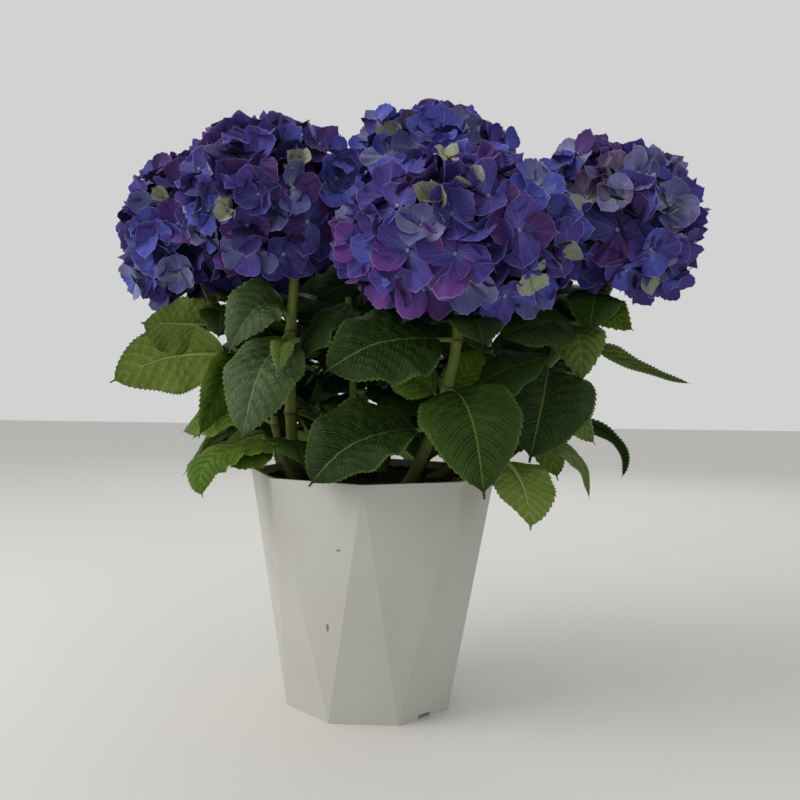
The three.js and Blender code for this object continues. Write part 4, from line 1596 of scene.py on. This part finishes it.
@dataclass(frozen=True)
class Sepal:
    """One sepal: its outline and its set, as shares of its length."""

    length: float
    breadth: float
    corner: float
    point: float
    fan: float
    cup: float
    ruffle: float
    waves: float
    phase: float
    tooth: float
    crease: float
    keel: float
    flap: float

    COLUMNS = (9, 17, 25)
    ROWS = (
        (0.07, 0.5, 0.85, 1.0),
        (0.07, 0.32, 0.57, 0.79, 0.93, 1.0),
        (0.07, 0.27, 0.47, 0.64, 0.79, 0.92, 1.0),
    )
    SPREAD = 2.62
    SCALLOP = 0.03

    def surface(self, detail: int) -> tuple[Array, Array, Array]:
        """The sepal on its own axes: x outward, y across and z up.

        Args:
            detail: 0 for a hidden one, 1 for a plain one and 2 for the finest.

        Returns:
            Its points, triangles and chart places.
        """
        columns = self.COLUMNS[detail]
        rows = np.array(self.ROWS[detail])
        angle = np.linspace(-self.SPREAD, self.SPREAD, columns)
        cosine, sine = np.cos(angle), np.sin(angle)
        power = 2 / self.corner
        point = self.point * np.exp(-((angle / 0.2) ** 2))
        x = 0.5 + 0.5 * np.sign(cosine) * abs(cosine) ** power + point
        y = self.breadth / 2 * np.sign(sine) * abs(sine) ** power * (1 + self.fan * (x - 0.5))
        notch = np.where(np.arange(columns) % 2 == 0, 1.0, -1.0) * (1 - smooth(abs(angle), 1.5, 2.2))
        k, _ = np.meshgrid(rows, angle, indexing="ij")
        ragged = 1 + self.tooth * notch * smooth(k, 0.85, 1.0)
        ragged = ragged + self.SCALLOP * np.sin(2.6 * angle + self.phase) * smooth(k, 0.7, 1.0)
        x, y = k * x * ragged, k * y * ragged
        reach = np.hypot(x, y)
        ridges = abs(np.sin(self.waves * 1.3 * angle + self.phase)) - 0.5
        z = self.cup * reach ** 2 + self.keel * abs(y) * k
        z = z + self.ruffle * k ** 3 * np.sin(self.waves * angle + self.phase)
        z = z + self.crease * smooth(k, 0.1, 0.7) * ridges
        z = z + self.flap * np.maximum(0, y * math.copysign(1, self.flap) - 0.12) * k
        points = np.stack([x, y, z], -1) * self.length
        across = (angle / self.SPREAD + 1) / 2
        places = np.stack(np.broadcast_arrays(across[None], rows[:, None]), -1)
        return points, grid_triangles(len(rows), columns), places


@dataclass
class Floret:
    """Four sepals round a bead: two inner ones that lie on two outer ones.

    The detail is 2 for a floret with a set place, 1 for a seeded one and 0 for one inside the head.
    """

    spot: Array
    out: Array
    across: Array
    spin: float
    radius: float
    inner: Hue
    outer: Hue
    cup: float
    detail: int

    # How far the sepals differ, in the order of the draws. The length is a share of the radius, and
    # the cup adds to the floret's own.
    RANGES = {
        "length": (0.86, 1.08), "breadth": (0.94, 1.2), "corner": (1.45, 2.6), "point": (0.0, 0.12),
        "fan": (0.0, 0.5), "cup": (-0.15, 0.15), "ruffle": (0.03, 0.12), "waves": (2.2, 4.2),
        "phase": (0, 6.3), "tooth": (0.006, 0.0225), "crease": (0.02, 0.09), "keel": (-0.1, 0.3),
    }

    def sepals(self, rng: np.random.Generator) -> Iterable[tuple[Hue, tuple[Array, Array, Array]]]:
        """Makes the sepals.

        Args:
            rng: the source of their small differences.

        Returns:
            Each sepal's hue in turn, with its points, triangles and chart places.
        """
        other = np.cross(self.out, self.across)
        for k in range(4):
            angle = self.spin + k * math.pi / 2 + rng.uniform(-0.16, 0.16)
            values = {name: rng.uniform(*limits) for name, limits in self.RANGES.items()}
            values["length"] *= self.radius
            values["cup"] += self.cup
            flap = rng.choice([-1, 1]) * rng.uniform(0, 0.55) ** 1.5
            points, triangles, places = Sepal(**values, flap=flap).surface(self.detail)
            if rng.random() < 0.5:
                places = places * np.array([-1, 1]) + np.array([1, 0])
            points = turned(points, 0, rng.uniform(-0.3, 0.3) + 0.16)
            rise = self.cup * 0.9 + rng.uniform(-0.16, 0.26) + (0.0 if k % 2 else 0.05)
            points = turned(points, 1, -rise)
            points = turned(points + np.array([0.0, 0.0, -0.4 if k % 2 else 0.5]), 2, angle)
            x, y, z = (points[..., n:n + 1] for n in range(3))
            world = self.spot + (x * self.across + y * other + z * self.out)
            yield self.outer if k % 2 else self.inner, (world, triangles, places)


class Site:
    """A flower head that is being filled, with its measures and its source of differences."""

    HUB_SHARE = 0.45

    def __init__(self, stem: Stem, seed: int) -> None:
        """Measures a head.

        Args:
            stem: the head's stem.
            seed: the start of its random numbers.
        """
        self.stem = stem
        self.head = stem.head
        self.seed = seed
        self.rng = np.random.default_rng(seed)
        self.centre = np.array(stem.head.centre, float)
        self.size = np.array(stem.head.size, float)
        self.end = np.array(stem.end, float)
        self.hub = self.centre + (self.end - self.centre) * self.HUB_SHARE

    def spot(self, way: Array, seat: float) -> Array:
        """The place in a direction, at a share of the head's size."""
        return self.centre + way * self.size * seat


@dataclass
class Blooms:
    """The flower heads: florets of four sepals with a bead, on thin stalks inside each head."""

    crown: Crown
    radius: tuple[float, float] = (15.5, 21.5)
    set_scale: float = 0.9
    seat: tuple[float, float] = (0.78, 0.93)
    inner_seat: float = 0.62
    tilt: float = 0.55
    spread: float = 140.0
    lift: float = 0.35
    border: float = 0.06
    set_room: float = 0.85
    green_scale: float = 0.62
    inner_radius: float = 23.0
    branches: int = 9
    branch_reach: float = 0.42
    SET_SEAT = 0.9
    RIM = 1.02
    CUPS = (0.05, 0.2, 0.4, 0.65)
    CUP_SHARES = (0.3, 0.3, 0.25, 0.15)

    sepals: dict[Hue, Mass] = field(default_factory=lambda: {hue: Mass() for hue in Hue})
    beads: Mass = field(default_factory=Mass)
    stalks: Mass = field(default_factory=Mass)

    def build(self) -> None:
        """Builds one joined piece for each hue, one for the beads and one for the stalks."""
        for number, stem in enumerate(STEMS):
            if stem.head:
                self.fill(Site(stem, 501 + number))
        heads = nodes_of("head_")
        for finish in SEPALS:
            name = "sepals_" + finish.hue.value
            self.sepals[finish.hue].build(name, finish.material(), "bloom", heads)
        self.beads.build("floret_beads", BEAD.material(), "bloom", heads)
        self.stalks.build("floret_stalks", FLORET_STALK.material(), "bloom", heads)

    def fill(self, site: Site) -> None:
        """Fills one head: the set florets, the seeded ones round them, and a layer inside in near-black
        painted shade.

        Args:
            site: the head.
        """
        self.main_stalk(site)
        taken = [self.set_floret(site, bloom) for bloom in site.head.blooms]
        for way in self.ways(site, site.head.florets, site.seed):
            self.seeded_floret(site, way, taken)
        for way in self.ways(site, site.head.florets // 4, site.seed + 50):
            self.hidden_floret(site, way)

    def set_floret(self, site: Site, bloom: SetBloom) -> tuple[Array, float]:
        """Adds a floret with a set place.

        Args:
            site: the head.
            bloom: the floret's own values.

        Returns:
            Its place and its radius.
        """
        spot, out = self.set_spot(site, bloom)
        across = unit(ACROSS - out * out[0])
        spin, radius = math.radians(bloom.spin), bloom.radius * self.set_scale
        made = Floret(spot, out, across, spin, radius, bloom.inner, bloom.outer, bloom.cup, 2)
        self.place(site, made, bloom.rim)
        return spot, radius

    def seeded_floret(self, site: Site, way: Array, taken: list[tuple[Array, float]]) -> None:
        """Adds a seeded floret, if its place is free.

        Args:
            site: the head.
            way: the direction from its middle.
            taken: the set florets' places and radii.
        """
        rng = site.rng
        spot = site.spot(way, rng.uniform(*self.seat))
        radius = rng.uniform(*self.radius)
        near = (
            np.linalg.norm(spot - there) < self.set_room * (radius + wide) / 2
            for there, wide in taken
        )
        if any(near) or self.in_rival(site.stem, spot):
            return
        out = unit(unit(way / site.size) + rng.uniform(-self.tilt, self.tilt, 3))
        across = unit(np.cross(out, rng.normal(size=3)))
        weights = np.array([weight for weight, _, _ in site.head.mood])
        _, inner, outer = site.head.mood[rng.choice(len(weights), p=weights / weights.sum())]
        radius = radius * (self.green_scale if inner is GREEN else 1.0)
        cup = rng.choice(self.CUPS, p=self.CUP_SHARES)
        self.place(site, Floret(spot, out, across, 0.0, radius, inner, outer, cup, 1))

    def hidden_floret(self, site: Site, way: Array) -> None:
        """Adds a floret inside the head, its sepals near-black as painted shade.

        Args:
            site: the head.
            way: the direction from its middle.
        """
        spot = site.spot(way, self.inner_seat)
        if not self.in_rival(site.stem, spot):
            out, across = unit(way / site.size), unit(np.cross(way, site.rng.normal(size=3)))
            # Both its hues are the near-black of painted shade.
            made = Floret(spot, out, across, 0.0, self.inner_radius, NIGHT, NIGHT, 0.1, 0)
            self.place(site, made)

    def ways(self, site: Site, count: int, first: float) -> Array:
        """Directions by the golden angle over a head, all but its underside.

        Args:
            site: the head.
            count: how many there are.
            first: the angle of the first.

        Returns:
            The directions.
        """
        axis = unit(unit(site.centre - site.end) * (1 - self.lift) + UP * self.lift)
        height = 1 - math.cos(math.radians(self.spread))
        z = 1 - (np.arange(count) + 0.5) / count * height
        a = np.arange(count) * GOLDEN_ANGLE + first
        r = np.sqrt(1 - z * z)
        return np.stack([r * np.cos(a), r * np.sin(a), z], 1) @ rotation_to(axis).T

    def set_spot(self, site: Site, bloom: SetBloom) -> tuple[Array, Array]:
        """A set floret's place on the front of its head.

        Args:
            site: the head.
            bloom: the floret's own values.

        Returns:
            The place, and the way that the floret faces.
        """
        seat = self.SET_SEAT * bloom.rim / self.RIM
        flat = np.array([bloom.across / site.size[0], bloom.up / site.size[2]]) / seat
        flat = flat * min(1.0, 0.95 / np.linalg.norm(flat))
        way = np.array([flat[0], -math.sqrt(1 - flat @ flat), flat[1]])
        out = unit(unit(way / site.size) * 0.7 + np.array([0.0, -0.3, 0.0]))
        return site.spot(way, seat), out

    def in_rival(self, stem: Stem, spot: Array) -> bool:
        """Whether a floret's place belongs to a neighbouring head.

        Args:
            stem: the floret's own stem.
            spot: its place.

        Returns:
            True if it does.
        """
        own = head_depth(stem.head, spot) + self.border
        rivals = (other.head for other in STEMS if other.head and other is not stem)
        return any(head_depth(rival, spot) < own for rival in rivals)

    def place(self, site: Site, floret: Floret, rim: float = RIM) -> None:
        """Adds a floret, drawn in as far as keeps its sepals within the head.

        Args:
            site: the head.
            floret: the floret, whose middle may move.
            rim: how far out its sepals may reach, as a share of the head's size.
        """
        parts = [(hue, *part) for hue, part in floret.sepals(site.rng)]
        over = max(float(head_depth(site.head, points).max()) for _, points, _, _ in parts) - rim
        shift = -unit((floret.spot - site.centre) / site.size) * site.size * max(0.0, over)
        for hue, points, triangles, places in parts:
            self.sepals[hue].add(points + shift, triangles, places)
        floret.spot = floret.spot + shift
        if floret.detail:
            radius = min(1.6, floret.radius * 0.08)
            self.beads.add(*bead(floret.spot + floret.out * 0.8, floret.out, floret.across, radius))
            self.flower_stalk(site, floret)

    def flower_stalk(self, site: Site, floret: Floret) -> None:
        """Adds the thin stalk that carries a floret.

        Args:
            site: the head.
            floret: the floret in its place.
        """
        end = floret.spot - floret.out * 0.6
        bend = (site.hub + site.centre) / 2 + (floret.spot - site.centre) * 0.45
        share = np.linspace(0.12, 1, 7)
        self.stalks.add(*tube(Arc(site.hub, bend, end).point(share), 1.0 - 0.35 * share, 5))

    def main_stalk(self, site: Site) -> None:
        """Adds the stalk under a head and the short branches inside it.

        Args:
            site: the head.
        """
        curve = self.crown.curves[site.stem.name]
        bend = site.end + curve.tangent(1.0) * np.linalg.norm(site.centre - site.end) * 0.4
        share = np.linspace(0, 1, 12)
        stalk = Arc(site.end, bend, site.hub)
        self.stalks.add(*tube(stalk.point(share), 3.2 - 0.7 * share, 12))
        for way in self.ways(site, self.branches, 7):
            tip = site.spot(way, self.branch_reach)
            middle = (site.hub + tip) / 2 + site.rng.uniform(-3, 3, 3)
            branch = Arc(site.hub, middle, tip)
            self.stalks.add(*tube(branch.point(share), 1.9 - 0.8 * share, 7))


def rotation_to(axis: Array) -> Array:
    """The rotation that brings the upright to an axis.

    Args:
        axis: the axis, of length one.

    Returns:
        Its three rows.
    """
    turn = UP @ axis
    cross = np.cross(UP, axis)
    skew = np.array([[0, -cross[2], cross[1]], [cross[2], 0, -cross[0]], [-cross[1], cross[0], 0]])
    return np.eye(3) + skew + skew @ skew / (1 + turn)


def turned(points: Array, axis: int, angle: float) -> Array:
    """Points turned about one of their own axes.

    Args:
        points: the points.
        axis: 0 for x, 1 for y and 2 for z.
        angle: the turn in radians.

    Returns:
        The turned points.
    """
    first, second = (axis + 1) % 3, (axis + 2) % 3
    cosine, sine = math.cos(angle), math.sin(angle)
    made = points.copy()
    made[..., first] = points[..., first] * cosine - points[..., second] * sine
    made[..., second] = points[..., first] * sine + points[..., second] * cosine
    return made


def bead(centre: Array, out: Array, across: Array, radius: float) -> tuple[Array, Array, Array]:
    """The small lobed bud in a floret's middle.

    Args:
        centre: its middle.
        out: the way that it faces.
        across: a direction across it.
        radius: its radius.

    Returns:
        Its points, triangles and chart places.
    """
    rows, columns = 6, 9
    polar = np.linspace(0.12, math.pi * 0.62, rows)[:, None]
    around = np.linspace(0, 2 * math.pi, columns)[None]
    wide = np.sin(polar) * (1 + 0.12 * np.cos(4 * around))
    other = np.cross(out, across)
    ball = (np.cos(around) * wide)[..., None] * across + (np.sin(around) * wide)[..., None] * other
    ball = ball + (np.cos(polar) * np.ones_like(around))[..., None] * out
    places = np.stack(np.broadcast_arrays(around / (2 * math.pi), polar / math.pi), -1)
    return centre + ball * radius, grid_triangles(rows, columns)[:, ::-1], places


@dataclass
class Pot:
    """The eight-sided pot: the solid's own facets with softened ridges above its foot."""

    ridge: float = 1.3
    segments: int = 3
    foot: float = 20.0
    least_bend: float = 5.0
    sharp_from: float = 14.0

    def build(self) -> None:
        """Builds the pot from a copy of its solid."""
        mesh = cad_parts["pot"].data.copy()
        mesh.name = "pot_shell"
        form = bmesh.new()
        form.from_mesh(mesh)
        bmesh.ops.remove_doubles(form, verts=form.verts, dist=0.01 * MM)
        bmesh.ops.dissolve_limit(
            form, angle_limit=math.radians(0.5), verts=form.verts, edges=form.edges)
        ridges = [
            edge for edge in form.edges
            if edge.is_manifold and edge.calc_face_angle(0.0) > math.radians(self.least_bend)
            and max(vertex.co.z for vertex in edge.verts) > self.foot * MM
        ]
        bmesh.ops.bevel(
            form, geom=ridges, offset=self.ridge * MM, segments=self.segments, profile=0.5,
            affect="EDGES", clamp_overlap=True,
        )
        bmesh.ops.triangulate(form, faces=form.faces)
        form.to_mesh(mesh)
        form.free()
        mesh.materials.clear()
        mesh.materials.append(PlasticFinish().material())
        mesh.shade_smooth()
        mesh.set_sharp_from_angle(angle=math.radians(self.sharp_from))
        dress(bpy.data.objects.new("pot_shell", mesh), ["pot"])


@dataclass
class Soil:
    """The compost: its solid below, and a crumbled surface on top."""

    top: float = 156.2
    sides: int = 8
    turn: float = -2.5
    corner_inset: float = 0.4
    wall_clear: float = 0.3
    mound: float = 2.2
    crumbs: int = 420
    seed: int = 77

    def build(self) -> None:
        """Builds the surface and its crumbs, and dresses the solid under them."""
        dark = SoilFinish().material()
        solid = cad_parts["soil"]
        solid.data.materials.clear()
        solid.data.materials.append(dark)
        rng = np.random.default_rng(self.seed)
        mass = Mass()
        self.surface(mass, rng)
        self.scatter(mass, rng)
        mass.build("soil_crumbs", dark, "soil", [])

    def edge(self, angle: Array) -> Array:
        """The reach of the pot's inside at the soil.

        Args:
            angle: the direction, or several.

        Returns:
            The distance from the middle in each.
        """
        low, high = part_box("soil")
        corner = max(high[0] - low[0], high[1] - low[1]) / 2 / MM
        step = 2 * math.pi / self.sides
        local = (angle - math.radians(self.turn) + math.pi / 2) % step - step / 2
        return (corner - self.corner_inset) * math.cos(step / 2) / np.cos(local) - self.wall_clear

    def surface(self, mass: Mass, rng: np.random.Generator) -> None:
        """Adds the uneven surface.

        Args:
            mass: what it is added to.
            rng: the source of its unevenness.
        """
        rings, around = 34, 97
        share = np.linspace(0.02, 1, rings)[:, None]
        angle = np.linspace(0, 2 * math.pi, around)[None]
        radius = share * self.edge(angle)
        x, y = radius * np.cos(angle), radius * np.sin(angle)
        z = self.top + self.mound * (1 - share ** 2) * np.ones_like(angle)
        for wave in (0.11, 0.23, 0.47, 0.9):
            way, shift = rng.uniform(0, math.pi), rng.uniform(0, 6.3, 2)
            first = np.sin(wave * (x * math.cos(way) + y * math.sin(way)) + shift[0])
            second = np.sin(wave * (y * math.cos(way) - x * math.sin(way)) + shift[1])
            z = z + 0.28 / wave ** 0.45 * (first * second + 1)
        points = np.stack([x, y, z], -1)
        places = np.stack([x, y], -1) / 200 + 0.5
        mass.add(points, grid_triangles(rings, around)[:, ::-1], places)

    def scatter(self, mass: Mass, rng: np.random.Generator) -> None:
        """Adds small crumbs over the surface.

        Args:
            mass: what they are added to.
            rng: the source of their sizes and places.
        """
        rows, columns = 5, 8
        polar = np.linspace(0.2, math.pi - 0.2, rows)[:, None]
        around = np.linspace(0, 2 * math.pi, columns)[None]
        for _ in range(self.crumbs):
            angle = rng.uniform(0, 2 * math.pi)
            radius = math.sqrt(rng.uniform(0, 0.93)) * float(self.edge(np.array(angle)))
            size = rng.uniform(0.7, 2.4)
            lumps = 1 + rng.uniform(-0.3, 0.3, (rows, columns))
            lumps[:, -1] = lumps[:, 0]
            ball = np.stack([
                np.sin(polar) * np.cos(around) * lumps, np.sin(polar) * np.sin(around) * lumps,
                np.cos(polar) * lumps * 0.7,
            ], -1) * size
            spot = np.array([radius * math.cos(angle), radius * math.sin(angle), self.top + 2.4])
            places = np.stack([ball[..., 0], ball[..., 1]], -1) / 200 + 0.5 + spot[:2] / 200
            mass.add(spot + ball, grid_triangles(rows, columns)[:, ::-1], places)


@dataclass
class Studio:
    """The pale floor, the soft light and the camera."""

    camera_place: tuple[float, float, float] = (18.9, -693.5, 241.3)
    pitch: float = 2.22
    roll: float = 0.8
    focal_pixels: float = 971.0
    frame_pixels: float = 800.0
    sensor: float = 36.0
    floor_half: float = 3000.0
    floor_colour: Colour = (0.67, 0.66, 0.63)
    sky_colour: Colour = (0.74, 0.74, 0.74)
    sky_strength: float = 0.87
    aim: float = 220.0

    def build(self) -> None:
        """Builds the floor, the world, the lights and the camera."""
        self.floor()
        self.world()
        self.light("key", (-1000, -350, 1000), 900, 10.0, (1.0, 0.97, 0.93))
        self.light("back", (300, 1100, 900), 1200, 3.0, (0.97, 0.98, 1.0))
        self.camera()
        bpy.context.scene.view_settings.view_transform = "Standard"

    def floor(self) -> None:
        """A wide plain floor under the pot."""
        half = self.floor_half * MM
        mesh = bpy.data.meshes.new("floor")
        corners = [(-half, -half, 0), (half, -half, 0), (half, half, 0), (-half, half, 0)]
        mesh.from_pydata(corners, [], [(0, 1, 2, 3)])
        shader = Shader("floor")
        mesh.materials.append(shader.surface({"Base Color": self.floor_colour, "Roughness": 0.75}))
        piece = bpy.data.objects.new("floor", mesh)
        bpy.context.scene.collection.objects.link(piece)
        piece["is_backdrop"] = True

    def world(self) -> None:
        """An even pale surrounding."""
        world = bpy.data.worlds.new("daylight")
        world.use_nodes = True
        background = world.node_tree.nodes["Background"]
        background.inputs["Color"].default_value = (*self.sky_colour, 1.0)
        background.inputs["Strength"].default_value = self.sky_strength
        bpy.context.scene.world = world

    def light(
        self, name: str, place: Sequence[float], size: float, power: float, colour: Colour
    ) -> None:
        """A soft square light that faces the plant.

        Args:
            name: its name.
            place: where it is.
            size: the length of its side.
            power: its power in watts.
            colour: its colour.
        """
        data = bpy.data.lights.new(name, "AREA")
        data.size = size * MM
        data.energy = power
        data.color = colour
        lamp = bpy.data.objects.new(name, data)
        bpy.context.scene.collection.objects.link(lamp)
        lamp.location = [value * MM for value in place]
        sight = Vector((0, 0, self.aim * MM)) - lamp.location
        lamp.rotation_euler = sight.to_track_quat("-Z", "Y").to_euler()

    def camera(self) -> None:
        """The camera at the photograph's place."""
        data = bpy.data.cameras.new("camera")
        data.sensor_width = self.sensor
        data.lens = self.focal_pixels * self.sensor / self.frame_pixels
        data.clip_start = 0.01
        camera = bpy.data.objects.new("camera", data)
        bpy.context.scene.collection.objects.link(camera)
        place = Matrix.Translation([value * MM for value in self.camera_place])
        tilt = Matrix.Rotation(math.radians(90 - self.pitch), 4, "X")
        camera.matrix_world = place @ tilt @ Matrix.Rotation(math.radians(self.roll), 4, "Z")
        bpy.context.scene.camera = camera


def write_sizes() -> None:
    """Puts the solids' box and the dressed part's box side by side, but neither writes nor keeps them.
    """
    boxes = {"cad": CAD_BOX, "visual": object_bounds()}
    {name: [list(corner) for corner in box] for name, box in boxes.items()}


def main() -> None:
    """Builds the studio and dresses the part, piece by piece."""
    logging.basicConfig(level=logging.INFO, format="%(message)s")
    Studio().build()
    Pot().build()
    Soil().build()
    crown = Crown()
    crown.grow()
    Canes(crown).build()
    Foliage(crown).build()
    Blooms(crown).build()
    write_sizes()


if __name__ == "__main__":
    main()
